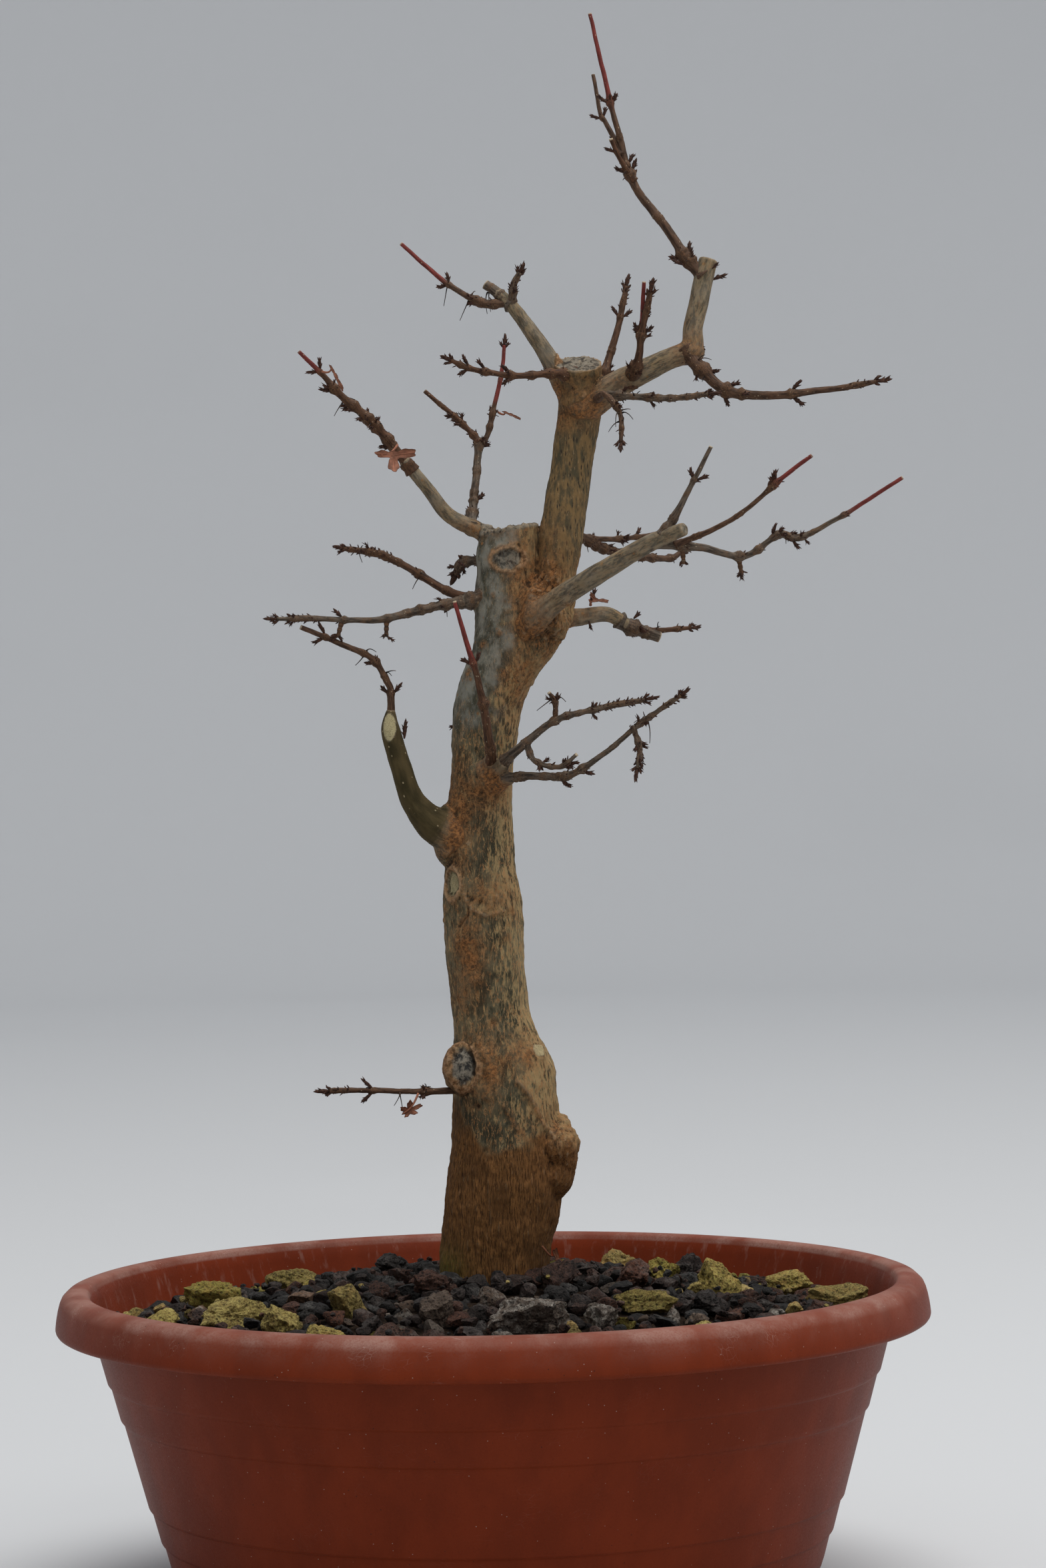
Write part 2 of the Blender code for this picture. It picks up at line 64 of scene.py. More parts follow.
MM = 0.001
POT_LOW, POT_HIGH = (np.array(corner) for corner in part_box("pot"))
LIP_TOP = POT_HIGH[2] / MM                      # heights on the tree count from here
RIM = (POT_HIGH[0] - POT_LOW[0]) / 2 / MM
BED_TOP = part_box("grit_bed")[1][2] / MM
BED_REACH = (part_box("grit_bed")[1][0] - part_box("grit_bed")[0][0]) / 2 / MM
BED_EDGE = LIP_TOP - 14.5                       # the grit's height at the wall
FOOT_RADIUS = 18.5
WOBBLE = 0.0006                                 # how far the moulded bowl is from round

# ---- the tree's wood ---------------------------------------------------------------------------------
# Outlines seen from the front: (height, left edge, right edge, shift towards the back)
TRUNK_OUTLINE = (
    (-24, -21, 22, 0), (-12, -20, 21, 0), (0, -18.5, 19.5, 0), (8, -18, 20, 0), (17, -17, 22, 0),
    (24, -16.5, 23.5, 0), (33, -15.5, 24.5, 0), (46, -13.5, 24.5, 0), (59, -12.5, 23.5, 0), (71, -12, 23, 0),
    (77, -12, 21.5, 0), (83, -11.5, 17.5, 0), (92, -12, 14.5, 0), (103, -13, 13.5, 0), (112, -14, 13, 0),
    (121, -14.5, 13, 0), (132, -14.5, 12, 0), (141, -13.5, 10.5, 0), (150, -13, 10, 0), (166, -12, 10, 0),
    (176, -10.5, 10.5, 0), (186, -10.5, 12, 0), (198, -9.5, 14.5, 0), (207, -7, 18.5, 0), (215, -3.5, 21, 0),
    (223, -1.5, 21.5, 0), (235, -1.5, 21, 1), (243, -0.5, 20.5, 1), (250, -1, 20.5, 1), (258, 1, 20.5, 1),
)
LEADER_OUTLINE = (
    (204, 2, 17, -1), (215, 8, 25.5, -2), (224, 13.5, 31, -3), (232, 17, 33, -3), (240, 19, 33, -2),
    (248, 20.5, 35, -1), (256, 21, 36.5, 0), (270, 23.5, 38.5, 2), (279, 25.5, 40, 3), (290, 27, 42, 3),
    (300, 28.5, 43.5, 2), (307, 28.5, 43.5, 1), (314, 27, 43.5, -1),
)
LEADER_TOP_TILT = 0.42          # the leader's saw cut falls towards the front
STUB_TOP_TILT = 0.15            # the stub's saw cut rises to the right

# Lumps grown on the wood: (x, y, height), (half sizes)
LUMPS = (
    ((22, -4, 46), (9, 10, 8)), ((24, -2, 51), (4, 5, 6)), ((25, -6, 42), (5, 5, 6)),
    ((-9, -10, 73), (6, 6, 8.5)), ((2, -8, 173), (8, 6, 7)), ((-12, -2, 153), (6, 8, 11)),
    ((20, -4, 230), (9, 9, 10)), ((25, -7, 226), (6, 6, 7)), ((21, -3, 37), (8, 9, 10)),
    ((74, -4, 317), (5, 4.5, 4.5)), ((36, 0, 301), (7.5, 7, 8)), ((3, 0, 233), (6, 6, 6)),
    ((6, 1, 252), (6, 6, 5)),
)
GREY, BROWN = 0.15, None
BUDDED, DARK_CUT, PALE_CUT = 0, 0.35, 1.0
NO_RED = 9
# Limbs thick enough to grow out of the trunk in one skin: (x, y, height, radius)
LIMBS = {
    "left_cut_branch": ((-6, -2, 152, 8), (-16, -5, 156, 6.4), (-24, -6, 165, 4.3), (-28, -6, 177, 3.7),
                        (-31, -6, 188, 3.4), (-31.4, -6, 192, 2.8), (-31, -6, 196.5, 1.5)),
    "left_high": ((8, 2, 252, 4.6), (1, 2, 257, 3.1), (-10, 1, 263, 2.6), (-17, -1, 272, 2.3), (-25, -3, 282, 2.1)),
    "top_left": ((33, 1, 302, 4.4), (25, 1, 317, 3.1), (18, 4, 328, 2.6), (13, 6, 335, 2.3), (8, 8, 340, 2.1)),
    "right_heavy": ((36, 0, 298, 6.0), (50, -2, 307, 4.7), (65, -4, 314, 3.8), (74, -4, 318, 3.9), (75, -3, 325, 3.5),
                    (77, -2, 333, 3.4), (79, -1, 342, 3.4), (81, 0, 349, 3.3)),
    "right_front": ((16, -6, 223, 6.0), (22, -16, 229, 4.4), (29, -22, 234, 3.8), (43, -34, 242, 3.4),
                    (58, -46, 250, 2.9), (69, -54, 254, 2.3)),
    "right_low_stub": ((24, -1, 227, 5.0), (33, 2, 227, 3.2), (44, 6, 228, 2.7), (51, 9, 224, 2.4)),
    "front_base": ((2, -8, 175, 3.4), (3, -15, 179, 2.2)),
    "front_upper_base": ((3, -8, 173, 3.4), (8, -19, 178, 2.1)),
    "front_lower_base": ((4, -8, 171, 3.4), (10, -18, 172.5, 1.9)),
    "left_pair_base": ((6, -1, 235, 3.4), (-3, -3, 233, 2.5)),
}
# Twigs: how brown the bark is (None leaves it to chance), how pale the cut at the tip is (0 for a bud), the
# share of the length where red begins, the path as (x, y, height, radius), and what grows how many millimetres
# from the foot
Twig = namedtuple("Twig", "bark end red path growth")
TWIGS = {
    "low_left": Twig(BROWN, BUDDED, NO_RED, ((-8, -8, 66, 1.6), (-21, -12, 66, 1.1), (-39, -15, 67, 1.0),
        (-54, -17, 67, 0.8)),
        "14 tuft, 14 stalk, 23 stalk, 32 pair, 33 stalk, 44 scales"),
    "left_cut_tip": Twig(BROWN, PALE_CUT, NO_RED, ((-31, -6, 192, 1.6), (-31, -6, 202, 1.3), (-32, -7, 206, 1.2),
        (-37, -9, 214, 1.1), (-47, -12, 219, 1.1), (-61, -15, 225, 0.9)),
        "10 pair, 16 ring, 17 stalk, 22 down, 23 knot, 27 stalk, 28 ring, 42 pair"),
    "left_high_tip": Twig(BROWN, DARK_CUT, 0.84, ((-22, -2, 278, 2.0), (-25, -3, 282, 1.9), (-32, -5, 291, 1.7),
        (-39, -7, 298, 1.6), (-46, -9, 304, 1.4), (-52, -10, 311, 1.0), (-60, -12, 319, 0.7)),
        "3 knot, 11 down, 14 knot, 20 tuft, 22 stalk, 24 tuft, 31 tuft, 34 stalk, 39 down, 40 tuft, 47 pair"),
    "top_left_end": Twig(GREY, PALE_CUT, NO_RED, ((13, 6, 335, 2.1), (8, 8, 340, 2.0), (4, 9, 343, 1.8)),
        "5 ring, 10 stalk"),
    "right_low_end": Twig(GREY, PALE_CUT, NO_RED, ((48, 8, 226, 2.4), (51, 9, 224, 2.3), (62, 12, 220, 2.1)),
        "5 tuft, 7 cross, 11 ring"),
    "front": Twig(BROWN, PALE_CUT, 0.67, ((2, -8, 176, 2.6), (3, -19, 181, 1.9), (1, -26, 196, 1.5),
        (-2, -30, 210, 1.1), (-8, -35, 232, 0.7)),
        "14 ring, 30 ring, 31 knot, 45 pair, 46 ring"),
    "front_upper": Twig(GREY, BUDDED, NO_RED, ((3, -9, 174, 2.6), (11, -24, 181, 1.8), (16, -28, 185, 1.5),
        (26, -33, 192, 1.2), (39, -37, 195, 0.9), (55, -41, 198, 0.7)),
        "12 ring, 25 ring, 38 knot, 43 knot, 47 ring, 52 tuft, 57 scales, 62 scales, 66 scales"),
    "front_upper_shoot": Twig(BROWN, PALE_CUT, NO_RED, ((25, -32, 191, 0.9), (25, -34, 198, 0.8),
        (23, -35, 201, 0.7)),
        "3 ring, 7 tuft, 8 stalk"),
    "front_middle": Twig(GREY, PALE_CUT, NO_RED, ((15, -27, 184, 1.1), (18, -30, 178, 0.9), (26, -35, 176, 0.8),
        (32, -38, 180, 0.7)),
        "4 knot, 9 tuft, 14 knot, 19 tuft, 21 down"),
    "front_lower": Twig(GREY, BUDDED, NO_RED, ((4, -8, 171, 2.6), (13, -22, 173, 1.6), (29, -30, 173, 1.3),
        (41, -34, 180, 1.0), (55, -38, 191, 0.9), (67, -42, 199, 0.7)),
        "16 ring, 18 ring, 26 ring, 30 ring, 32 down, 34 knot, 40 down, 41 knot, 54 ring, 66 tuft, 68 stalk, "
        "70 knot, 78 scales"),
    "front_lower_drop": Twig(GREY, BUDDED, NO_RED, ((51, -37, 189, 0.7), (53, -40, 181, 0.7), (52, -42, 175, 0.6)),
        "3 scales, 6 tuft, 9 scales, 12 tuft"),
    "left_pair": Twig(GREY, DARK_CUT, NO_RED, ((6, -1, 235, 3.0), (-6, -4, 233, 2.3)),
        "6 knot, 10 knot"),
    "left_pair_low": Twig(GREY, BUDDED, NO_RED, ((-3, -3, 233, 2.2), (-13, -6, 232, 1.6), (-30, -10, 228, 1.4),
        (-40, -12, 227, 1.1), (-58, -15, 228, 0.9), (-69, -17, 228, 0.7)),
        "4 knot, 9 tuft, 14 ring, 18 knot, 23 ring, 30 spur, 45 up, 45 spur, 57 scales, 62 tuft"),
    "left_pair_high": Twig(BROWN, BUDDED, NO_RED, ((-3, -3, 234, 1.9), (-11, 0, 237, 1.6), (-31, 8, 249, 1.2),
        (-47, 12, 253, 0.8)),
        "9 ring, 20 stalk, 21 knot, 30 ring, 36 scales, 41 tuft, 44 stalk, 47 scales"),
    "left_short": Twig(GREY, BUDDED, NO_RED, ((6, 3, 247, 2.0), (-5, 6, 247, 1.4), (-8, 8, 243, 1.1)),
        "6 knot, 11 tuft, 14 tuft"),
    "high_fork": Twig(GREY, DARK_CUT, NO_RED, ((-2, 1, 258, 2.2), (-2, 10, 264, 1.7), (-1, 15, 273, 1.5),
        (1, 22, 290, 1.4)),
        "11 tuft, 16 up, 19 ring, 28 ring, 38 tuft"),
    "high_fork_left": Twig(BROWN, DARK_CUT, NO_RED, ((1, 21, 289, 1.3), (-4, 24, 295, 1.0), (-18, 29, 308, 0.8)),
        "4 knot, 10 tuft, 14 tuft, 20 ring"),
    "high_fork_right": Twig(BROWN, BUDDED, 0.45, ((1, 21, 289, 1.3), (4, 24, 293, 1.0), (9, 30, 314, 0.8),
        (10, 32, 324, 0.7)),
        "8 knot, 13 tuft, 26 ring"),
    "top_left_tip": Twig(BROWN, PALE_CUT, 0.56, ((13, 6, 336, 1.6), (4, 7, 336, 1.3), (-4, 9, 340, 1.1),
        (-13, 11, 347, 0.9), (-25, 13, 358, 0.7)),
        "6 knot, 9 ring, 11 knot, 13 tuft, 15 stalk, 24 pair, 24 stalk"),
    "top_left_short": Twig(GREY, BUDDED, NO_RED, ((13, 6, 335, 1.2), (14, 3, 342, 1.0), (16, 2, 346, 0.8)),
        "2 knot, 5 tuft, 9 scales"),
    "crown_left": Twig(BROWN, BUDDED, NO_RED, ((34, -3, 310, 2.2), (26, -10, 310, 1.4), (13, -16, 309, 1.1),
        (0, -20, 311, 1.0), (-8, -23, 314, 0.8)),
        "5 knot, 11 tuft, 18 knot, 26 pair, 26 tuft, 35 up, 35 knot, 41 pair, 44 knot"),
    "crown_back": Twig(BROWN, BUDDED, NO_RED, ((42, 0, 302, 2.6), (46, 7, 315, 1.5), (50, 12, 328, 1.2),
        (53, 16, 342, 0.8)),
        "4 knot, 11 tuft, 20 ring, 33 pair, 40 scales"),
    "crown_front": Twig(BROWN, BUDDED, NO_RED, ((53, -3, 307, 2.6), (56, -11, 315, 1.5), (57, -16, 322, 1.2),
        (60, -20, 336, 0.9)),
        "5 tuft, 8 knot, 20 tuft, 21 pair, 30 scales"),
    "crown_front_thin": Twig(BROWN, PALE_CUT, 0.25, ((57, -15, 321, 1.0), (58, -18, 340, 0.7)),
        "4 knot"),
    "crown_drop": Twig(BROWN, BUDDED, NO_RED, ((41, -2, 301, 2.0), (44, -16, 302, 1.1), (49, -22, 295, 0.9),
        (49, -25, 285, 0.7)),
        "18 ring, 22 tuft, 24 stalk, 25 stalk, 28 stalk, 31 knot"),
    "crown_low": Twig(GREY, BUDDED, NO_RED, ((45, -2, 303, 2.0), (49, -12, 302, 1.4), (66, -19, 300, 1.0),
        (79, -23, 301, 0.8)),
        "12 tuft, 17 stalk, 22 tuft, 26 knot, 30 knot, 33 ring, 36 knot, 41 scales"),
    "top": Twig(BROWN, PALE_CUT, 0.69, ((79, -1, 343, 2.6), (73, 0, 350, 1.9), (67, 2, 360, 1.7), (56, 5, 376, 1.5),
        (51, 7, 394, 1.1), (47, 9, 412, 0.9), (42, 11, 436, 0.7)),
        "7 tuft, 9 pair, 11 knot, 26 ring, 44 tuft, 45 pair, 46 stalk, 48 up, 58 ring, 70 pair, 71 tuft"),
    "top_front": Twig(BROWN, PALE_CUT, NO_RED, ((56, 5, 377, 1.2), (52, 3, 383, 0.9), (48, 0, 391, 0.8)),
        "5 ring, 12 down"),
    "top_back": Twig(BROWN, DARK_CUT, NO_RED, ((52, 6, 386, 1.1), (47, 12, 398, 0.9), (45, 14, 402, 0.8),
        (43, 18, 416, 0.7)),
        "6 knot, 17 pair"),
    "right_long": Twig(BROWN, BUDDED, NO_RED, ((73, -4, 317, 3.2), (77, -8, 311, 2.3), (88, -12, 302, 1.9),
        (109, -17, 301, 1.4), (128, -21, 303, 1.0), (136, -22, 304, 0.8)),
        "2 knot, 6 stalk, 9 tuft, 11 up, 12 stalk, 20 pair, 21 knot, 26 cross, 43 pair, 44 ring, 66 scales"),
    "right_front_up": Twig(GREY, PALE_CUT, NO_RED, ((62, -49, 252, 1.9), (69, -52, 264, 1.1), (78, -55, 281, 0.7)),
        "3 knot, 7 ring, 21 pair, 22 stalk"),
    "right_front_long": Twig(GREY, PALE_CUT, 0.77, ((58, -46, 250, 2.2), (75, -44, 248, 1.4), (89, -40, 245, 1.2),
        (101, -41, 252, 1.0), (108, -42, 251, 1.0), (124, -44, 259, 0.8), (142, -47, 270, 0.7)),
        "10 spur, 12 knot, 30 spur, 31 knot, 38 knot, 44 up, 46 tuft, 49 tuft, 51 down, 54 tuft, 58 ring, 70 knot"),
    "right_front_second": Twig(BROWN, DARK_CUT, 0.74, ((66, -46, 249, 1.2), (85, -52, 257, 0.9), (104, -58, 272, 0.8),
        (111, -60, 277, 0.7)),
        "8 ring, 24 ring, 38 tuft, 39 up, 40 up, 41 knot"),
    "right_back": Twig(BROWN, BUDDED, NO_RED, ((28, 3, 256, 2.4), (36, 10, 255, 1.7), (44, 18, 251, 1.5),
        (65, 34, 248, 1.2), (72, 38, 251, 0.9)),
        "8 knot, 14 tuft, 18 knot, 22 tuft, 26 ring, 31 knot, 39 tuft, 44 knot, 52 knot"),
    "right_back_high": Twig(BROWN, BUDDED, NO_RED, ((35, 9, 254, 1.2), (52, 24, 255, 0.9), (64, 32, 257, 0.7)),
        "6 knot, 19 tuft, 26 up, 27 ring"),
    "right_low_shoot": Twig(BROWN, BUDDED, NO_RED, ((58, 11, 222, 1.2), (73, 16, 223, 0.7)),
        "3 stalk, 4 stalk, 11 knot"),
}
# How each kind of growth swells the twig: share of its radius, and half its length in millimetres
SWELLS = {"ring": (0.08, 1.7), "knot": (0.50, 1.4), "pair": (0.34, 1.0), "cross": (0.34, 1.0), "up": (0.28, 0.9),
          "down": (0.28, 0.9), "tuft": (0.55, 1.7), "stalk": (0.06, 0.6), "spur": (0.40, 1.1), "scales": (0.35, 4.0)}
# Buds straight on the thick limbs: foot (x, y, height), tip, width
LIMB_BUDS = (
    ((-26.6, -7, 186.4), (-26.0, -7, 193.5), 1.0), ((37.9, 2, 231.0), (40.1, 2, 237.3), 0.9),
    ((53.1, 9, 226.4), (55.5, 9, 228.9), 0.8), ((53.8, 9, 223.6), (52.4, 9, 221.6), 0.6),
    ((-7.1, 8, 190.9), (-11.7, 8, 190.1), 0.8), ((81.7, -1, 341.8), (87.6, -1, 343.8), 0.9),
    ((72.5, -2, 347.0), (67.9, -2, 349.0), 0.9), ((76.5, -4, 318.5), (79.2, -5, 317.4), 1.0),
    ((82.0, -3, 345.5), (84.5, -4, 347.5), 0.6), ((37.5, 1, 225.6), (38.2, 0, 222.4), 0.6),
    ((-4.5, -3, 245.0), (-7.5, -4, 247.0), 0.7),
)

# Healed cuts: (x, height), half width, half height, swell of the ring, hollow of the wood, how grey the wood has gone
HEALED_CUTS = (
    ((-8.0, 74.5), 4.2, 6.0, 1.25, 0.8, 1.0), ((-11.0, 136.5), 2.8, 4.6, 1.2, 0.5, 0.15),
    ((10.0, 247.0), 4.8, 3.4, 0.6, 0.5, 0.8), ((17.4, 78.8), 3.0, 2.4, 0.35, -0.35, 0.0),
)
# The slanting cut of the limb on the left: its middle (x, height), half width, half height
LIMB_CUT = ((-31.8, 190.6), 2.3, 4.9)
# Warts: (x, height), radius, height; a negative height is a pit
WARTS = (
    ((-9, 118), 2.4, 1.2), ((-3.5, 105), 2.2, 0.9), ((-13, 128), 1.6, 0.9), ((-13.5, 124), 1.3, 1.1),
    ((3, 131), 2.6, 0.7), ((-1, 127), 1.8, 0.7), ((-4, 131), 1.6, -0.6), ((9, 127), 2.4, 0.5),
    ((7, 118), 2.0, 0.5), ((1, 218), 1.6, 0.5), ((7, 222), 1.2, 0.5), ((8, 208), 1.8, 0.5), ((-4, 208), 2.2, 0.5),
    ((5, 235), 1.0, 0.5), ((2, 89), 2.0, -0.5), ((30, 231), 1.8, 0.9), ((-4, 61), 1.5, -0.9),
    ((21, 36), 2.0, 0.8), ((23, 26), 1.8, 0.6), ((-5, 66), 2.2, 0.9),
)
# Ridges of bark: points (x, height), width, swell
RIDGES = (
    (((10, 69), (13, 65), (15.5, 60), (18, 54), (22, 49.5)), 1.1, 1.1),
    (((-3, 82), (0, 76), (1, 70), (-1, 64)), 1.6, 0.8),
    (((-7, 133), (-5, 128), (0, 125.5), (6, 127)), 0.9, 0.8),
    (((-9, 122), (-6, 126), (-5, 132)), 0.8, -0.7),
    (((12, 205), (13, 214), (16, 224), (18, 236)), 1.4, 0.8),
    (((14, 252), (16, 245), (17, 238)), 1.0, -0.9),
    (((5, 61), (9, 54), (13, 49)), 1.0, 0.4),
)


# ---- settings ----------------------------------------------------------------------------------------
def colour_setting(name, description, default):
    return FloatVectorProperty(name=name, description=description, subtype="COLOR", size=3, min=0, max=1,
                               default=default)


def length_setting(name, description, default, low, high):
    """A length whose three values are given in millimetres."""
    return FloatProperty(name=name, description=description, unit="LENGTH", default=default * MM, min=low * MM,
                         max=high * MM)


class BowlSettings(bpy.types.PropertyGroup):
    """Sizes and colours of the bowl."""

    plastic: colour_setting("Plastic", "Colour of the moulded plastic", (0.150, 0.0215, 0.0050))
    dust: colour_setting("Dust", "Colour of the dry film on the lip", (0.33, 0.20, 0.165))
    segments: IntProperty(name="Segments", description="Facets round the bowl", default=288, min=64, max=512)
    lip_width: length_setting("Lip width", "From the mouth's edge to the skirt", 11.5, 5, 20)


class GritSettings(bpy.types.PropertyGroup):
    """Sizes and colours of the grit."""

    seed: IntProperty(name="Seed", description="Changes how the grains fall", default=4, min=0)
    largest: length_setting("Largest grain", "Half length of the largest loose grain", 6.4, 3, 10)
    lava: colour_setting("Lava", "Colour of the black lava", (0.0150, 0.0135, 0.0125))
    red_lava: colour_setting("Red lava", "Colour of the brown lava", (0.058, 0.022, 0.012))
    pumice: colour_setting("Pumice", "Colour of the pumice", (0.50, 0.38, 0.15))


class TreeSettings(bpy.types.PropertyGroup):
    """Fineness and colours of the wood."""

    skin: length_setting("Skin", "Size of the facets of the trunk's skin", 0.55, 0.3, 2)
    bark: colour_setting("Bark", "Colour of the grey-green bark", (0.098, 0.084, 0.050))
    foot: colour_setting("Foot", "Colour of the fibrous bark low down", (0.215, 0.098, 0.032))
    twig: colour_setting("Twig", "Colour of the old twigs", (0.078, 0.033, 0.015))
    shoot: colour_setting("Shoot", "Colour of the young shoots", (0.110, 0.020, 0.016))
    seed: IntProperty(name="Seed", description="Changes the buds and the small marks", default=9, min=0)


class LeafSettings(bpy.types.PropertyGroup):
    """Colours and thickness of the withered leaves."""

    pale: colour_setting("Pale leaf", "Colour of the leaves left on the twigs", (0.250, 0.100, 0.058))
    dark: colour_setting("Dark leaf", "Colour of the leaf on the grit", (0.130, 0.046, 0.021))
    thickness: length_setting("Thickness", "Of the blade", 0.22, 0.1, 1)


class StageSettings(bpy.types.PropertyGroup):
    """The floor and the light."""

    floor: colour_setting("Floor", "Colour of the floor and the sweep", (0.70, 0.71, 0.725))
    sky: FloatProperty(name="Sky", description="Strength of the soft light from all round", default=0.40, min=0,
                       max=5)
    key: FloatProperty(name="Key", description="Power of the large light above", subtype="POWER", unit="POWER",
                       default=105, min=0, max=900)


# ---- making meshes -----------------------------------------------------------------------------------
class Lot:
    """Points and faces gathered for one piece, with a row of marks for every point."""

    def __init__(self, *layers):
        self.layers = layers
        self.points, self.marks, self.three, self.four = [], [], [], []
        self.count = 0

    def add(self, points, marks, three=(), four=()):
        points = np.asarray(points, float)
        self.points.append(points)
        self.marks.append(np.broadcast_to(np.asarray(marks, float), (len(points), 3 * len(self.layers))))
        for faces, kept, corners in ((three, self.three, 3), (four, self.four, 4)):
            if len(faces):
                kept.append(np.asarray(faces, np.int32).reshape(-1, corners) + self.count)
        self.count += len(points)

    def tube(self, path, radii, sides, marks):
        """A capped tube along the path; the radii are one for each ring, or one for each of its points."""
        _, across, up = frames_along(path)
        _, cos, sin = circle(sides)
        radii = np.asarray(radii, float)
        if radii.ndim == 1:
            radii = radii[:, None] * np.ones(sides)
        ring = across[:, None] * cos[None, :, None] + up[:, None] * sin[None, :, None]
        self.stack(path[:, None] + ring * radii[:, :, None], (path[0], path[-1]), marks)

    def stack(self, rings, ends, marks=(), turned=False):
        """A closed skin over rings of points, drawn together to a point at each end.

        Marks holds one row for all, a row for each ring or a row for each point."""
        count, sides = rings.shape[:2]
        marks = np.asarray(marks, float)
        if marks.ndim == 2:
            marks = marks[:, None]
        width = 3 * len(self.layers)
        marks = np.broadcast_to(marks, (count, sides, width)).reshape(count * sides, width)
        three, four = ring_faces(count, sides)
        if turned:
            three, four = three[:, ::-1], four[:, ::-1]
        marks = np.concatenate([marks, marks[:1], marks[-1:]])
        self.add(np.concatenate([rings.reshape(-1, 3), ends]), marks, three, four)

    def mesh(self, name, sharp=0):
        """The gathered mesh in metres; edges bent by more than sharp degrees stay crisp."""
        mesh = bpy.data.meshes.new(name)
        points = np.concatenate(self.points) * MM
        three = np.concatenate(self.three) if self.three else np.zeros((0, 3), np.int32)
        four = np.concatenate(self.four) if self.four else np.zeros((0, 4), np.int32)
        mesh.vertices.add(len(points))
        mesh.vertices.foreach_set("co", points.astype(np.float32).ravel())
        mesh.loops.add(three.size + four.size)
        mesh.loops.foreach_set("vertex_index", np.concatenate([three.ravel(), four.ravel()]))
        mesh.polygons.add(len(three) + len(four))
        starts = np.concatenate([np.arange(len(three)) * 3, three.size + np.arange(len(four)) * 4])
        mesh.polygons.foreach_set("loop_start", starts.astype(np.int32))
        mesh.update(calc_edges=True)
        mesh.shade_smooth()
        if sharp:
            mesh.set_sharp_from_angle(angle=math.radians(sharp))
        marks = np.concatenate(self.marks)
        for i, layer in enumerate(self.layers):
            write_marks(mesh, layer, marks[:, 3 * i:3 * i + 3])
        return mesh


def ring_faces(rings, sides):
    """Faces of a stack of rings, with a fan to one more point at each end."""
    a = (np.arange(rings - 1)[:, None] * sides + np.arange(sides)).ravel()
    b = (np.arange(rings - 1)[:, None] * sides + np.roll(np.arange(sides), -1)).ravel()
    first = np.arange(sides)
    last = first + (rings - 1) * sides
    ends = rings * sides
    three = np.concatenate([np.stack([np.roll(first, -1), first, np.full(sides, ends)], 1),
                            np.stack([last, np.roll(last, -1), np.full(sides, ends + 1)], 1)])
    return three, np.stack([a, b, b + sides, a + sides], 1)


def write_marks(mesh, layer, values):
    kept = mesh.attributes.new(layer, "FLOAT_VECTOR", "POINT")
    kept.data.foreach_set("vector", np.ascontiguousarray(values, np.float32).ravel())


def show(name, mesh, finish, nodes=()):
    """Puts the mesh in the scene as a piece that rides on the object and stands for its CAD nodes."""
    piece = bpy.data.objects.new(name, mesh)
    bpy.context.scene.collection.objects.link(piece)
    mesh.materials.clear()
    mesh.materials.append(finish)
    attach(piece, "root")
    if nodes:
        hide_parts(*nodes)
    return piece


def frames_along(path):
    """Unit vectors along, across and up at every point of a path, turning as little as they can."""
    along = np.gradient(path, axis=0)
    along /= np.maximum(np.linalg.norm(along, axis=1, keepdims=True), 1e-9)
    guess = np.array((0.0, 1.0, 0.0)) if abs(along[0][1]) < 0.9 else np.array((1.0, 0.0, 0.0))
    across = np.empty_like(path)
    for i, direction in enumerate(along):
        guess = guess - direction * guess.dot(direction)
        guess /= np.linalg.norm(guess)
        across[i] = guess
    return along, across, np.cross(along, across)


def smooth_path(stations, spacing):
    """Stations joined by one flowing curve, as points about the spacing apart; further columns come along."""
    knots = np.array(stations, float)
    knots = np.concatenate([2 * knots[:1] - knots[1:2], knots, 2 * knots[-1:] - knots[-2:-1]])
    found = []
    for a, b, c, d in zip(knots, knots[1:], knots[2:], knots[3:]):
        steps = max(int(np.linalg.norm((c - b)[:3]) / spacing), 2)
        t = np.linspace(0, 1, steps, endpoint=False)[:, None]
        found.append(0.5 * (2 * b + (c - a) * t + (2 * a - 5 * b + 4 * c - d) * t ** 2
                            + (3 * b - a - 3 * c + d) * t ** 3))
    found.append(knots[-2:-1])
    return np.concatenate(found)


def arc_lengths(path):
    return np.concatenate([[0], np.cumsum(np.linalg.norm(np.diff(path, axis=0), axis=1))])


def rough(points, scale, seed=0.0, octaves=3):
    """Cloudy noise, about -1 to 1, at every point; scale is waves per millimetre, one number or three."""
    moved = points * scale + seed * 7.31
    return np.fromiter((noise.fractal(p, 1.0, 2.0, octaves) for p in moved.tolist()), float, len(points))


def above_foot(stations):
    """Stations given above the lip, raised to the frame's own height."""
    raised = np.array(stations, float)
    raised[:, 2] += LIP_TOP
    return raised


def arrays_of(mesh):
    """Points in millimetres, unit normals and corner numbers of a mesh of triangles or of quads."""
    points = np.empty(len(mesh.vertices) * 3, np.float32)
    normals = np.empty(len(mesh.vertices) * 3, np.float32)
    corners = np.empty(len(mesh.loops), np.int32)
    mesh.vertices.foreach_get("co", points)
    mesh.vertex_normals.foreach_get("vector", normals)
    mesh.loops.foreach_get("vertex_index", corners)
    return points.reshape(-1, 3).astype(float) / MM, normals.reshape(-1, 3).astype(float), corners


def fade(value, low, high):
    """0 at low and 1 at high, easing at both ends."""
    t = np.clip((value - low) / (high - low), 0, 1)
    return t * t * (3 - 2 * t)


def tinted(colour, share):
    return tuple(share * part for part in colour)


def circle(sides):
    """Equal steps round a circle: their angles, cosines and sines."""
    angle = np.arange(sides) * math.tau / sides
    return angle, np.cos(angle), np.sin(angle)


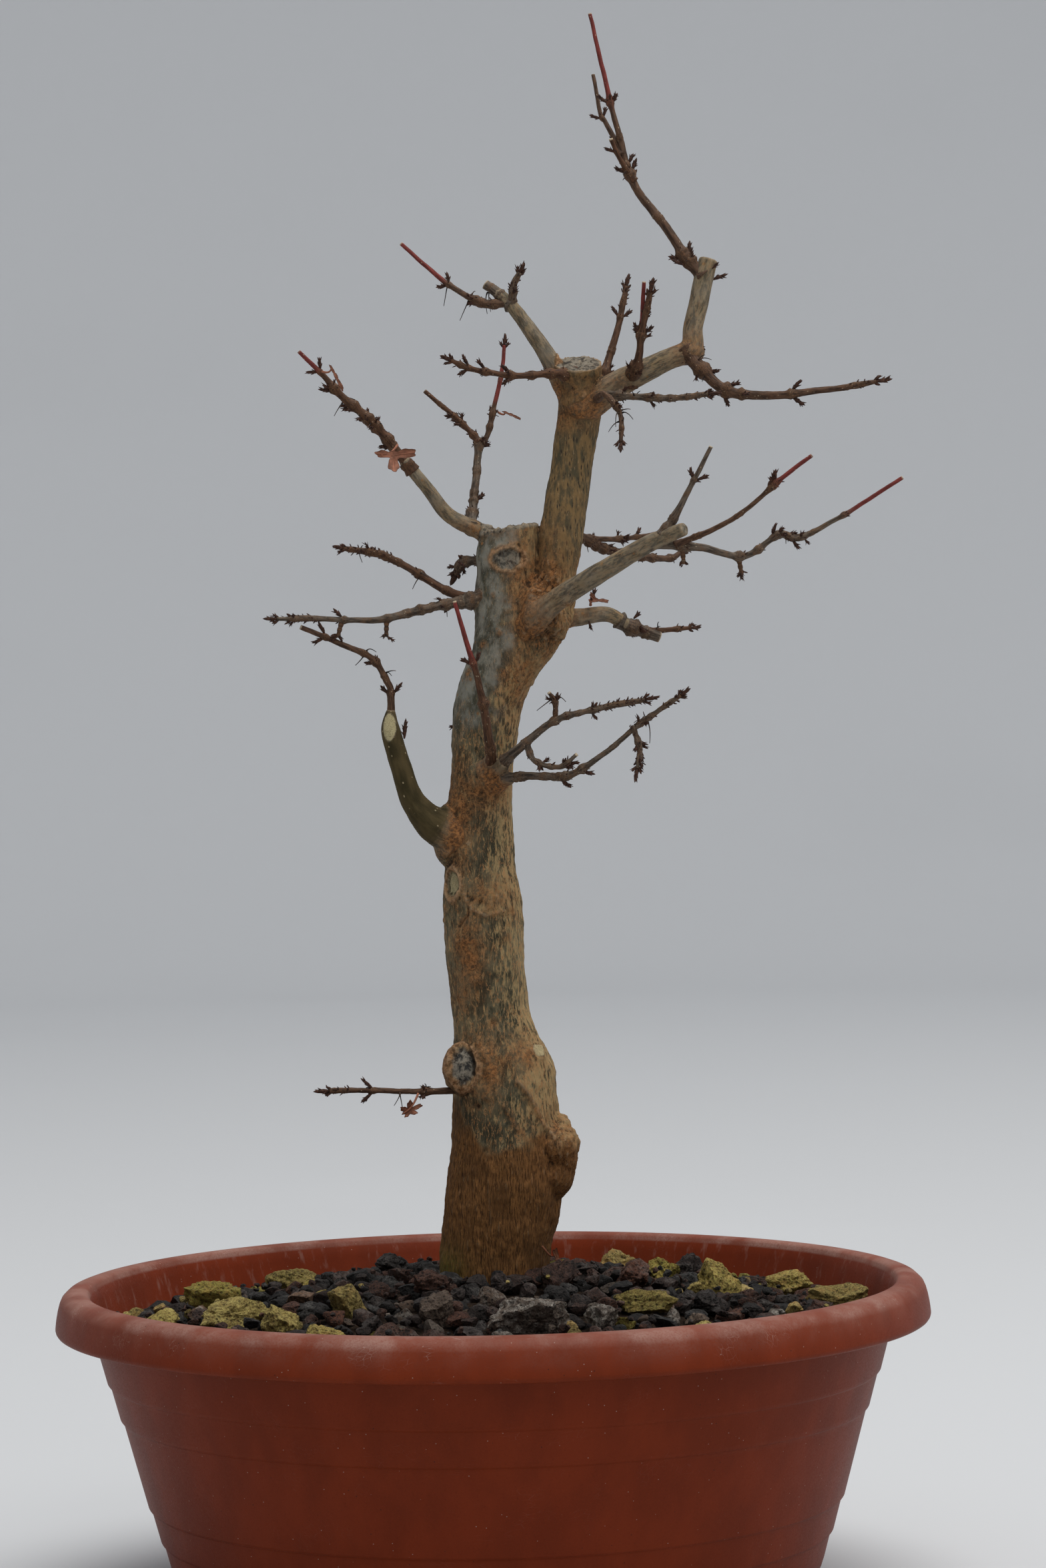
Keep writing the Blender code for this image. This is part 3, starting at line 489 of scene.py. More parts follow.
def revolved(radius, height, sides):
    """Rings of points round the upright axis, one for each radius and height."""
    _, cos, sin = circle(sides)
    return np.stack([radius[:, None] * cos, radius[:, None] * sin, np.repeat(height[:, None], sides, 1)], 2)


def unit(way):
    """The same direction, or every row's direction, with a length of one."""
    return way / (np.linalg.norm(way) if way.ndim == 1 else np.linalg.norm(way, axis=1, keepdims=True))


def spun(first, second, angle):
    """A direction turned from the first towards the second."""
    return first * math.cos(angle) + second * math.sin(angle)


# ---- making finishes ---------------------------------------------------------------------------------
class Finish:
    """A node material being put together; each method adds a node and returns its output."""

    def __init__(self, name):
        self.material = bpy.data.materials.new(name)
        self.material.use_nodes = True
        self.tree = self.material.node_tree
        self.shader = self.tree.nodes["Principled BSDF"]
        self.bump = None

    def add(self, kind, inputs, output=0, **settings):
        node = self.tree.nodes.new(kind)
        for key, value in settings.items():
            setattr(node, key, value)
        for key, value in inputs.items():
            self.put(node.inputs[key], value)
        return node.outputs[output]

    def put(self, socket, value):
        if isinstance(value, bpy.types.NodeSocket):
            self.tree.links.new(value, socket)
        elif hasattr(value, "__len__"):
            socket.default_value = value if socket.type == "VECTOR" else (*value[:3], 1.0)
        else:
            socket.default_value = value

    def place(self, scale=(1, 1, 1), layer=None):
        """Where the surface is, in millimetres and stretched, from the object or from a layer of marks."""
        if layer:
            source, factor = self.add("ShaderNodeAttribute", {}, 1, attribute_name=layer), 1.0
        else:
            source, factor = self.add("ShaderNodeTexCoord", {}, 3), 1000.0
        return self.add("ShaderNodeMapping", {0: source, 3: tuple(factor * s for s in scale)})

    def grain(self, stretch=1):
        """Where the bark's grain runs, stretched along it."""
        return self.place((1, 1, stretch), "grain")

    def marks(self, layer):
        split = self.tree.nodes.new("ShaderNodeSeparateXYZ")
        self.tree.links.new(self.add("ShaderNodeAttribute", {}, 1, attribute_name=layer), split.inputs[0])
        return split.outputs

    def cloud(self, place, scale, detail=4.0, coarse=0.55, bend=0.0):
        return self.add("ShaderNodeTexNoise", {"Vector": place, "Scale": scale, "Detail": detail, "Roughness": coarse,
                                               "Distortion": bend})

    def cells(self, place, scale, feature="F1", output=0):
        return self.add("ShaderNodeTexVoronoi", {"Vector": place, "Scale": scale}, output, feature=feature)

    def between(self, value, low, high, to_low=0.0, to_high=1.0):
        return self.add("ShaderNodeMapRange", {0: value, 1: low, 2: high, 3: to_low, 4: to_high},
                        interpolation_type="SMOOTHSTEP")

    def sum(self, kind, a, b=0.0):
        return self.add("ShaderNodeMath", {0: a, 1: b}, operation=kind)

    def times(self, a, b):
        return self.sum("MULTIPLY", a, b)

    def plus(self, a, b):
        return self.sum("ADD", a, b)

    def mix(self, a, b, share):
        return self.add("ShaderNodeMix", {0: share, 6: a, 7: b}, 2, data_type="RGBA")

    def spots(self, under, over, value, low, high, share=1.0):
        """The second colour over the first where the value passes from low to high."""
        return self.mix(under, over, self.between(value, low, high, 0.0, share))

    def raise_by(self, height, distance, strength=1.0):
        """Adds relief; distance is in millimetres."""
        inputs = {"Height": height, "Distance": distance * MM, "Strength": strength}
        if self.bump:
            inputs["Normal"] = self.bump
        self.bump = self.add("ShaderNodeBump", inputs)

    def done(self, colour, roughness, **sockets):
        self.put(self.shader.inputs["Base Color"], colour)
        self.put(self.shader.inputs["Roughness"], roughness)
        for name, value in sockets.items():
            self.put(self.shader.inputs[name.replace("_", " ")], value)
        if self.bump:
            self.put(self.shader.inputs["Normal"], self.bump)
        return self.material


def plastic_finish(settings):
    """Moulded plastic: finely grained, a little uneven, with short scratches and a dry film on the lip; the film is
    dust and also a painted sheen on the lip's top.
    """
    f = Finish("moulded_plastic")
    place = f.place()
    height, side, _ = f.marks("bowl")           # height: 1 on the lip's top, 0 down the wall; side: 1 inside
    base = settings.plastic
    broad = f.cloud(f.place((1, 1, 0.5)), 0.06, 4, 0.55)
    grain = f.cloud(place, 1.5, 4, 0.7)
    colour = f.spots(tinted(base, 0.90), tinted(base, 1.10), broad, 0.35, 0.65)
    colour = f.spots(colour, tinted(base, 0.66), grain, 0.54, 0.74, 0.55)
    colour = f.spots(colour, tinted(base, 1.5), grain, 0.44, 0.28, 0.35)
    # the film lies on the lip, thin where fingers rub it away; growing towards the lip's top, it is dust and painted
    # sheen
    film_and_sheen = f.times(f.between(f.cloud(place, 0.05, 5, 0.6, 0.3), 0.34, 0.68, 0.25, 1.0),
                   f.between(grain, 0.30, 0.62, 0.5, 1.0))
    film_and_sheen = f.times(film_and_sheen, f.between(height, 0.12, 0.95, 0.004, 0.75))
    colour = f.mix(colour, settings.dust, film_and_sheen)
    streak = f.cloud(f.place((0.32, 0.32, 0.05)), 1.0, 5, 0.6)
    colour = f.mix(colour, settings.dust, f.times(f.between(streak, 0.54, 0.74, 0, 0.30), side))
    specks = f.cells(place, 0.30)
    colour = f.spots(colour, (0.42, 0.33, 0.28), specks, 0.060, 0.035, 0.6)
    colour = f.spots(colour, (0.02, 0.012, 0.01), f.cells(f.place((0.8, 0.8, 0.8)), 0.22), 0.050, 0.025, 0.7)
    # scratches: short hairlines at all angles
    for turn, scale in ((0.6, 0.055), (2.3, 0.075)):
        line = f.add("ShaderNodeMapping", {0: place, 2: (0.3, 0.2, turn), 3: (0.10, 1.6, 0.5)})
        hair = f.between(f.cells(line, scale * 14, "DISTANCE_TO_EDGE"), 0.018, 0.005)
        hair = f.times(hair, f.between(f.cloud(place, scale, 2), 0.60, 0.68, 0, 0.5))
        colour = f.mix(colour, (0.50, 0.38, 0.33), f.times(hair, f.between(height, 0.1, 0.6, 0.10, 1.0)))
    f.raise_by(grain, 0.07, 0.5)
    return f.done(colour, f.plus(f.between(grain, 0.3, 0.7, 0.40, 0.54), f.times(film_and_sheen, 0.4)), Specular_IOR_Level=0.09)


def bark_finish(settings):
    """Bark that changes up the trunk: golden fibre, flecked grey-green and tan, smooth slate, rusty collars."""
    f = Finish("maple_bark")
    foot, slate, rust = f.marks("zones")
    cut, callus, moss = f.marks("wounds")
    olive, leader, coarse = f.marks("limbs")
    tan_and_lit_side, fresh, shadow = f.marks("tones")
    grain = f.grain()
    long = f.grain(0.30)
    patches = f.cloud(f.grain(0.6), 0.085, 5, 0.6)
    bark = settings.bark
    streaks = f.cloud(long, 0.80, 7, 0.70, 0.3)
    flecks = f.cloud(long, 1.6, 5, 0.68)
    fine = f.cloud(grain, 3.0, 5, 0.7)
    fibres = f.cloud(f.grain(0.13), 2.4, 5, 0.68, 0.25)

    # grey-green ground with tan and orange flecks; painted light: yellower and paler on the right-facing side, where
    # the key light falls
    ground = f.spots(tinted(bark, 0.42), tinted(bark, 1.35), patches, 0.40, 0.58)
    ground = f.spots(ground, (0.355, 0.250, 0.118), f.plus(streaks, f.times(tan_and_lit_side, 0.10)), 0.54, 0.66, 0.9)
    lines = f.sum("ABSOLUTE", f.sum("SUBTRACT", f.cloud(long, 0.50, 4, 0.6, 0.5), 0.5))
    ground = f.spots(ground, (0.400, 0.215, 0.092), lines, 0.024, 0.006, 0.75)
    ground = f.spots(ground, (0.260, 0.105, 0.034), flecks, 0.57, 0.66, 0.75)
    ground = f.spots(ground, (0.022, 0.024, 0.015), f.plus(streaks, f.times(tan_and_lit_side, 0.08)), 0.48, 0.36, 0.9)
    ground = f.spots(ground, (0.33, 0.27, 0.16), fine, 0.60, 0.74, 0.40)

    # smooth slate bark with pale speckles and rusty pores
    smooth = f.spots((0.046, 0.046, 0.033), (0.215, 0.208, 0.172), f.cloud(f.grain(0.6), 0.20, 5, 0.62), 0.38, 0.62)
    smooth = f.spots(smooth, (0.21, 0.155, 0.085), flecks, 0.54, 0.66, 0.6)
    smooth = f.spots(smooth, (0.33, 0.31, 0.24), f.cells(grain, 0.95), 0.22, 0.10, 0.65)
    smooth = f.spots(smooth, (0.030, 0.030, 0.026), f.cloud(long, 2.6, 3), 0.36, 0.28, 0.7)
    # painted light: the sunny colour goes on the lit side of the smooth bark; the limbs get it all over
    sunny = f.spots((0.085, 0.062, 0.042), (0.215, 0.165, 0.112), streaks, 0.36, 0.62)
    smooth = f.mix(smooth, sunny, f.times(tan_and_lit_side, 0.75))
    smooth = f.spots(smooth, (0.24, 0.115, 0.045), f.cells(grain, 0.20), 0.15, 0.08, 0.8)
    colour = f.mix(ground, smooth, slate)

    # the leader: golden brown with short dark upright dashes
    dashes = f.cells(f.grain(0.26), 1.0)
    shaft = f.spots((0.075, 0.062, 0.036), (0.205, 0.128, 0.055), f.cloud(long, 0.55, 6, 0.62), 0.38, 0.60)
    shaft = f.spots(shaft, (0.020, 0.018, 0.016), dashes, 0.30, 0.14, 0.85)
    shaft = f.spots(shaft, (0.34, 0.23, 0.12), flecks, 0.56, 0.68, 0.6)
    colour = f.mix(colour, shaft, leader)

    # the foot: golden fibre, dark between
    gold = settings.foot
    fibre = f.spots(tinted(gold, 0.24), gold, fibres, 0.36, 0.62)
    fibre = f.spots(fibre, tinted(gold, 1.9), flecks, 0.56, 0.70, 0.6)
    fibre = f.spots(fibre, tinted(gold, 0.35), patches, 0.50, 0.66, 0.6)
    colour = f.mix(colour, fibre, foot)

    # olive young bark of the cut limb, with pale dots
    young = f.spots((0.034, 0.026, 0.010), (0.078, 0.056, 0.024), f.cloud(long, 0.30, 4), 0.35, 0.65)
    young = f.spots(young, (0.34, 0.27, 0.16), f.cells(f.grain(0.7), 0.42), 0.13, 0.08, 0.85)
    colour = f.mix(colour, young, olive)

    # rust at collars and callus, greyed wood in the cuts, moss at the foot
    crumbly = f.cloud(grain, 0.9, 7, 0.68, 0.5)
    orange = f.spots((0.050, 0.018, 0.007), (0.300, 0.132, 0.046), crumbly, 0.36, 0.62)
    orange = f.spots(orange, (0.45, 0.29, 0.15), fine, 0.57, 0.72, 0.55)
    colour = f.mix(colour, orange, f.times(rust, f.between(crumbly, 0.30, 0.52, 0.55, 1.0)))
    # painted shade: the shadow mark darkens the bark to a dark green-grey
    colour = f.mix(colour, (0.032, 0.031, 0.019), f.times(shadow, f.between(flecks, 0.42, 0.58, 1.0, 0.15)))
    ringed = f.spots((0.120, 0.050, 0.020), (0.370, 0.200, 0.098), f.cloud(grain, 0.9, 6, 0.68), 0.40, 0.60)
    colour = f.mix(colour, ringed, callus)
    grey = f.spots((0.030, 0.029, 0.028), (0.215, 0.190, 0.150), f.cloud(grain, 0.45, 7, 0.7, 0.6), 0.40, 0.58)
    grey = f.spots(grey, (0.28, 0.25, 0.20), fine, 0.55, 0.72, 0.4)
    grey = f.mix(grey, f.spots((0.20, 0.165, 0.085), (0.43, 0.37, 0.21), fine, 0.36, 0.54), fresh)
    colour = f.mix(colour, grey, cut)
    colour = f.mix(colour, (0.105, 0.115, 0.018), f.times(moss, f.between(fine, 0.40, 0.60)))
    # painted shade and dirt: darker in the hollows of the skin, found from its pointiness; paler on its ridges
    hollow = f.add("ShaderNodeNewGeometry", {}, 7)
    colour = f.spots(colour, (0.020, 0.012, 0.007), hollow, 0.490, 0.45, 0.8)
    colour = f.spots(colour, (0.42, 0.31, 0.19), hollow, 0.512, 0.56, 0.35)

    calm = f.sum("SUBTRACT", 1.0, f.times(slate, 0.65))
    f.raise_by(fibres, 0.45, f.times(foot, 0.9))
    f.raise_by(streaks, 0.35, f.times(calm, 0.75))
    f.raise_by(dashes, 0.25, f.times(leader, 0.7))
    f.raise_by(crumbly, 0.9, f.times(coarse, 0.9))
    f.raise_by(fine, 0.15, 0.9)
    return f.done(colour, f.between(fine, 0.3, 0.7, 0.74, 0.92), Specular_IOR_Level=0.15)


def twig_finish(settings):
    """Twig bark from grey-brown to burgundy, ringed at the nodes, with dots, scaly buds and dry stalks."""
    f = Finish("maple_twig")
    red, node, cut = f.marks("shoot")
    bud, hair, chance = f.marks("bits")
    grain = f.grain()
    long = f.grain(0.2)
    fine = f.cloud(grain, 3.2, 5, 0.7)
    skin = f.cloud(long, 1.2, 5, 0.62)
    old = settings.twig
    grey = f.spots((0.034, 0.026, 0.019), (0.128, 0.102, 0.076), skin, 0.36, 0.62)
    grey = f.spots(grey, (0.145, 0.080, 0.040), f.cloud(grain, 0.22, 4), 0.50, 0.66, 0.7)
    brown = f.spots(tinted(old, 0.42), tinted(old, 1.30), skin, 0.36, 0.64)
    colour = f.mix(grey, brown, chance)
    young = settings.shoot
    shoot = f.spots(young, tinted(young, 2.1), skin, 0.4, 0.7)
    colour = f.mix(colour, shoot, red)
    dots = f.cells(f.grain(0.6), 0.75)
    colour = f.spots(colour, (0.42, 0.33, 0.22), dots, 0.15, 0.08, 0.65)
    colour = f.mix(colour, (0.185, 0.092, 0.040), f.times(node, f.between(fine, 0.46, 0.66, 0, 0.8)))
    colour = f.mix(colour, (0.030, 0.016, 0.010), f.times(node, f.between(fine, 0.52, 0.38, 0, 0.85)))
    scales = f.spots((0.016, 0.009, 0.007), (0.125, 0.050, 0.028), fine, 0.40, 0.70)
    colour = f.mix(colour, scales, bud)
    dry = f.spots((0.010, 0.008, 0.007), (0.085, 0.050, 0.034), f.cloud(grain, 0.4, 3), 0.4, 0.7)
    colour = f.mix(colour, dry, hair)
    wood = f.spots((0.30, 0.22, 0.13), (0.56, 0.47, 0.34), fine, 0.35, 0.65)
    colour = f.mix(colour, wood, cut)
    f.raise_by(skin, 0.16, 0.8)
    f.raise_by(fine, 0.10, 0.7)
    return f.done(colour, f.between(fine, 0.3, 0.7, 0.60, 0.85), Specular_IOR_Level=0.22)


def stone_finish(name, darks, lights, pit, relief, dust, dusty):
    """Pitted stone; darks and lights are pairs of colours that a grain's own chance picks between."""
    f = Finish(name)
    pick, shade, third = f.marks("chance")
    place = f.place()
    broad = f.cloud(place, 0.30, 4, 0.6)
    fine = f.cloud(place, 1.7, 7, 0.7)
    blend = f.between(f.plus(fine, f.times(broad, 0.5)), 0.58, 0.92)
    colour = f.mix(f.mix(darks[0], darks[1], pick), f.mix(lights[0], lights[1], pick), blend)
    pits = f.cells(place, pit)
    more = f.cells(place, pit * 2.7)
    over = f.times(f.between(broad, 0.46, 0.62), f.between(third, 0.25, 0.9))
    colour = f.mix(colour, dust, f.times(over, f.between(fine, 0.36, 0.60, 0.2 * dusty, dusty)))
    # painted shade: darker in the pits, where the relief below sinks in
    colour = f.spots(colour, tinted(darks[0], 0.30), pits, 0.34, 0.14, 0.75)
    colour = f.spots(colour, tinted(darks[0], 0.45), more, 0.26, 0.10, 0.5)
    colour = f.add("ShaderNodeVectorMath", {0: colour, 3: f.between(shade, 0, 1, 0.62, 1.30)}, operation="SCALE")
    f.raise_by(f.between(pits, 0.05, 0.45), 0.9 * relief, 0.8)
    f.raise_by(f.between(more, 0.05, 0.5), 0.4 * relief, 0.8)
    f.raise_by(fine, 0.8 * relief, 0.8)
    return f.done(colour, f.between(fine, 0.35, 0.7, 0.70, 0.94), Specular_IOR_Level=0.25)


def grit_finishes(settings):
    """The three kinds of stone, by name."""
    black, brown, pale = settings.lava, settings.red_lava, settings.pumice
    mossy = (0.62 * pale[0], 0.78 * pale[1], 0.42 * pale[2])
    return {
        "lava": stone_finish("lava_stone", (tinted(black, 0.35), tinted(brown, 0.35)),
                             (tinted(black, 2.2), tinted(brown, 1.9)), 0.75, 1.0, (0.105, 0.100, 0.092), 0.50),
        "pumice": stone_finish("pumice_stone", ((0.175, 0.118, 0.036), (0.150, 0.085, 0.018)),
                               (pale, mossy), 0.62, 1.4, (0.27, 0.115, 0.032), 0.7),
        "crusted": stone_finish("crusted_stone", ((0.036, 0.028, 0.023), (0.080, 0.045, 0.028)),
                                ((0.115, 0.095, 0.075), (0.15, 0.085, 0.050)), 0.65, 1.0, (0.27, 0.25, 0.22), 0.75),
    }


def soil_finish():
    f = Finish("fine_soil")
    place = f.place()
    fine = f.cloud(place, 1.1, 7, 0.7)
    colour = f.spots((0.010, 0.008, 0.007), (0.060, 0.036, 0.022), fine, 0.38, 0.66)
    f.raise_by(fine, 1.5, 1.0)
    return f.done(colour, 0.95, Specular_IOR_Level=0.1)


def leaf_finish(name, colour, dark_share):
    """A dry leaf: paler veins, darker curled edges, and blotches."""
    f = Finish(name)
    vein, edge, _ = f.marks("leaf")
    place = f.place()
    blotch = f.cloud(place, 0.35, 5, 0.62)
    fine = f.cloud(place, 2.6, 5, 0.7)
    made = f.spots(tinted(colour, dark_share), colour, blotch, 0.38, 0.60)
    made = f.spots(made, tinted(colour, 0.35), fine, 0.58, 0.74, 0.5)
    made = f.spots(made, tinted(colour, 0.45), edge, 0.62, 1.0, 0.7)
    made = f.mix(made, tuple(min(1.55 * c, 1) for c in colour), f.times(vein, 0.7))
    f.raise_by(vein, 0.35, 1.0)
    f.raise_by(fine, 0.12, 0.8)
    return f.done(made, f.between(fine, 0.3, 0.7, 0.60, 0.82), Specular_IOR_Level=0.22)


def stage_finish(colour):
    """The floor, growing paler towards the wall of the sweep."""
    f = Finish("floor")
    place = f.place((0.001, 0.001, 0.001))
    distance = f.add("ShaderNodeVectorMath", {0: place}, 1, operation="LENGTH")
    made = f.spots(tinted(colour, 0.80), colour, distance, 0.8, 4.0)
    return f.done(f.spots(made, tinted(colour, 0.9), f.cloud(place, 1.3, 3), 0.5, 0.7, 0.2), 0.95,
                  Specular_IOR_Level=0.1)


# ---- the bowl ----------------------------------------------------------------------------------------
def bowl_profile(lip_width):
    """The bowl's section as (radius, height, lip share, inside share): up inside, over the lip, down outside."""
    mouth = RIM - lip_width
    wall, floor, depth_of_corner = 2.6, 3.2, LIP_TOP - 15
    steps = [share * depth_of_corner for share in (0.33, 0.46, 0.78, 0.905)]
    slope, step, skirt = 0.27, 0.8, RIM - 2.6

    def outer(depth):
        return mouth + wall - slope * depth - step * sum(fade(depth, edge - 0.45, edge + 0.45) for edge in steps)

    def inner(depth):
        return mouth - (slope + step * len(steps) / LIP_TOP) * depth

    corner = outer(depth_of_corner)
    base = corner - 18
    inside = [(0, floor), (base * 0.5, floor), (base - 6, floor), (base + 4, floor + 3),
              (inner(depth_of_corner - 6) - 4, 14), (inner(depth_of_corner - 6), 21)]
    inside += [(inner(depth), LIP_TOP - depth) for depth in (60, 45, 30, 20, 12, 6, 3)]
    lip = [(mouth - 0.2, -2.0), (mouth + 0.1, -1.1), (mouth + 0.8, -0.5), (mouth + 1.6, -0.15), (mouth + 2.6, 0.0),
           (mouth + 4.2, -0.05), (mouth + 6.0, -0.3), (mouth + 7.4, -0.8), (RIM - 3.2, -1.6), (RIM - 2.2, -2.6),
           (RIM - 1.5, -4.2), (RIM - 0.9, -6.4), (RIM - 0.4, -9.0), (RIM - 0.15, -10.8), (RIM, -12.2), (RIM, -12.6),
           (RIM - 0.15, -13.2), (RIM - 0.5, -13.7), (RIM - 1.0, -14.0), (RIM - 1.5, -14.0), (skirt + 0.4, -13.9),
           (skirt, -13.4), (skirt - 0.5, -9.0), (skirt - 1.6, -5.6), (skirt - 3.0, -3.8), (mouth + 5.2, -3.5),
           (mouth + 3.4, -3.9), (outer(6), -6)]
    outside = []
    depths = list(np.linspace(10, depth_of_corner, 44))
    for edge in steps:
        depths += [edge - 0.5, edge - 0.2, edge + 0.2, edge + 0.5]
    for depth in sorted(depths):
        outside.append((outer(depth), LIP_TOP - depth))
    turn = [(corner - 1.0, 12.0), (corner - 4, 8.2), (corner - 8.5, 4.8), (base + 5, 2.3), (base + 2.4, 0.9),
            (base + 0.8, 0.2), (base - 0.6, 0.0), (base - 14, 0), (base - 15, 1.2), (base * 0.5, 1.2), (0, 1.2)]
    rows = [(r, z, 0.0, 1.0) for r, z in inside]
    rows += [(r, LIP_TOP + z, float(np.interp(z, (-13, -4, -1.5), (0.12, 0.45, 1.0))) if i < 20 else 0.05, 0.0)
             for i, (r, z) in enumerate(lip)]
    rows += [(r, z, 0.0, 0.0) for r, z in outside + turn]
    return rows


class MAPLE_OT_bowl(bpy.types.Operator):
    """Build the moulded bowl with its rolled lip"""

    bl_idname = "maple.bowl"
    bl_label = "Bowl"

    def execute(self, context):
        settings = context.scene.maple_bowl
        (_, start, *_), *middle, (_, end, *_) = bowl_profile(settings.lip_width / MM)
        middle = np.array(middle)
        points = revolved(middle[:, 0], middle[:, 1], settings.segments)
        points[:, :, :2] *= (1 + WOBBLE * np.sin(3 * circle(settings.segments)[0] + 0.4))[:, None]
        marks = np.concatenate([middle[:, 2:4], np.zeros((len(middle), 1))], 1)
        lot = Lot("bowl")
        lot.stack(points, [(0, 0, start), (0, 0, end)], marks, turned=True)
        show("bowl", lot.mesh("bowl"), plastic_finish(settings), ["pot"])
        return {"FINISHED"}


# ---- the grit ----------------------------------------------------------------------------------------
STONES = (("lava", 12, 0.11, 12), ("pumice", 8, 0.12, 18), ("crusted", 10, 0.11, 10))     # name, facets, bumps, pits
# Sizes of the grains on top, as shares of the largest, with how many are tried
UPPER_GRAINS = ((0.80, 1.0, 1500), (0.62, 0.80, 4000), (0.46, 0.62, 3500), (0.30, 0.46, 2500), (0.17, 0.30, 1500))
CLOSENESS = 0.78                                # how near two grains lie, as a share of their half lengths
LOWER_GRAINS = 4.2                              # how far the second layer lies under the first


def bed_height(radius):
    """Top of the grit at a distance from the axis."""
    share = np.clip((BED_REACH - radius) / (BED_REACH - FOOT_RADIUS), 0, 1)
    return BED_EDGE + (BED_TOP - BED_EDGE) * share


def ball(subdivisions):
    bm = bmesh.new()
    bmesh.ops.create_icosphere(bm, subdivisions=subdivisions, radius=1.0)
    points = np.array([v.co[:] for v in bm.verts])
    faces = np.array([[v.index for v in face.verts] for face in bm.faces])
    bm.free()
    return points, faces


def any_way(rng):
    """A random direction."""
    return unit(np.array([rng.gauss(0, 1) for _ in range(3)]))


def chipped(points, rng, facets, bumps, pits):
    """A rough lump cut from a ball: chipped flat in places, lumpy and pitted."""
    points = points.copy()
    for _ in range(facets):
        face = any_way(rng)
        over = points @ face - rng.uniform(0.42, 0.84)
        points -= np.maximum(over, 0)[:, None] * face * 0.96
    out = unit(points)
    seed = rng.uniform(0, 90)
    points += out * (bumps * rough(out, 1.9, seed, 2) + bumps * 0.6 * rough(out, 5.5, seed, 2))[:, None]
    for _ in range(pits):
        face = any_way(rng)
        near = np.exp(-((1 - out @ face) / rng.uniform(0.006, 0.03)))
        points -= out * (near * rng.uniform(0.05, 0.15))[:, None]
    return points


def any_turn(rng):
    """A random rotation, as a matrix for rows of points."""
    w, x, y, z = np.array([rng.gauss(0, 1) for _ in range(4)])
    size = math.sqrt(w * w + x * x + y * y + z * z)
    w, x, y, z = w / size, x / size, y / size, z / size
    return np.array(((1 - 2 * (y * y + z * z), 2 * (x * y - z * w), 2 * (x * z + y * w)),
                     (2 * (x * y + z * w), 1 - 2 * (x * x + z * z), 2 * (y * z - x * w)),
                     (2 * (x * z - y * w), 2 * (y * z + x * w), 1 - 2 * (x * x + y * y))))


def spread_grains(rng, taken, steps):
    """Seeded places on the bed, (x, y, half length), for each step's (smallest, largest, tries)."""
    places = np.array(list(taken) or [(0.0, 0.0, 0.0)], float)
    first = len(places)
    for low, high, tries in steps:
        for _ in range(tries):
            size = rng.uniform(low, high)
            reach = BED_REACH - size * 0.8
            radius = math.sqrt(rng.uniform((FOOT_RADIUS + size * 0.2) ** 2, reach ** 2))
            angle = rng.uniform(0, math.tau)
            x, y = radius * math.cos(angle), radius * math.sin(angle)
            if (np.hypot(places[:, 0] - x, places[:, 1] - y) - CLOSENESS * (places[:, 2] + size)).min() > 0:
                places = np.concatenate([places, [(x, y, size)]])
    return places[first:]


def loose_stones():
    """The names of the frame's single stones that lie on the grit."""
    return sorted(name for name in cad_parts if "_stone_" in name)


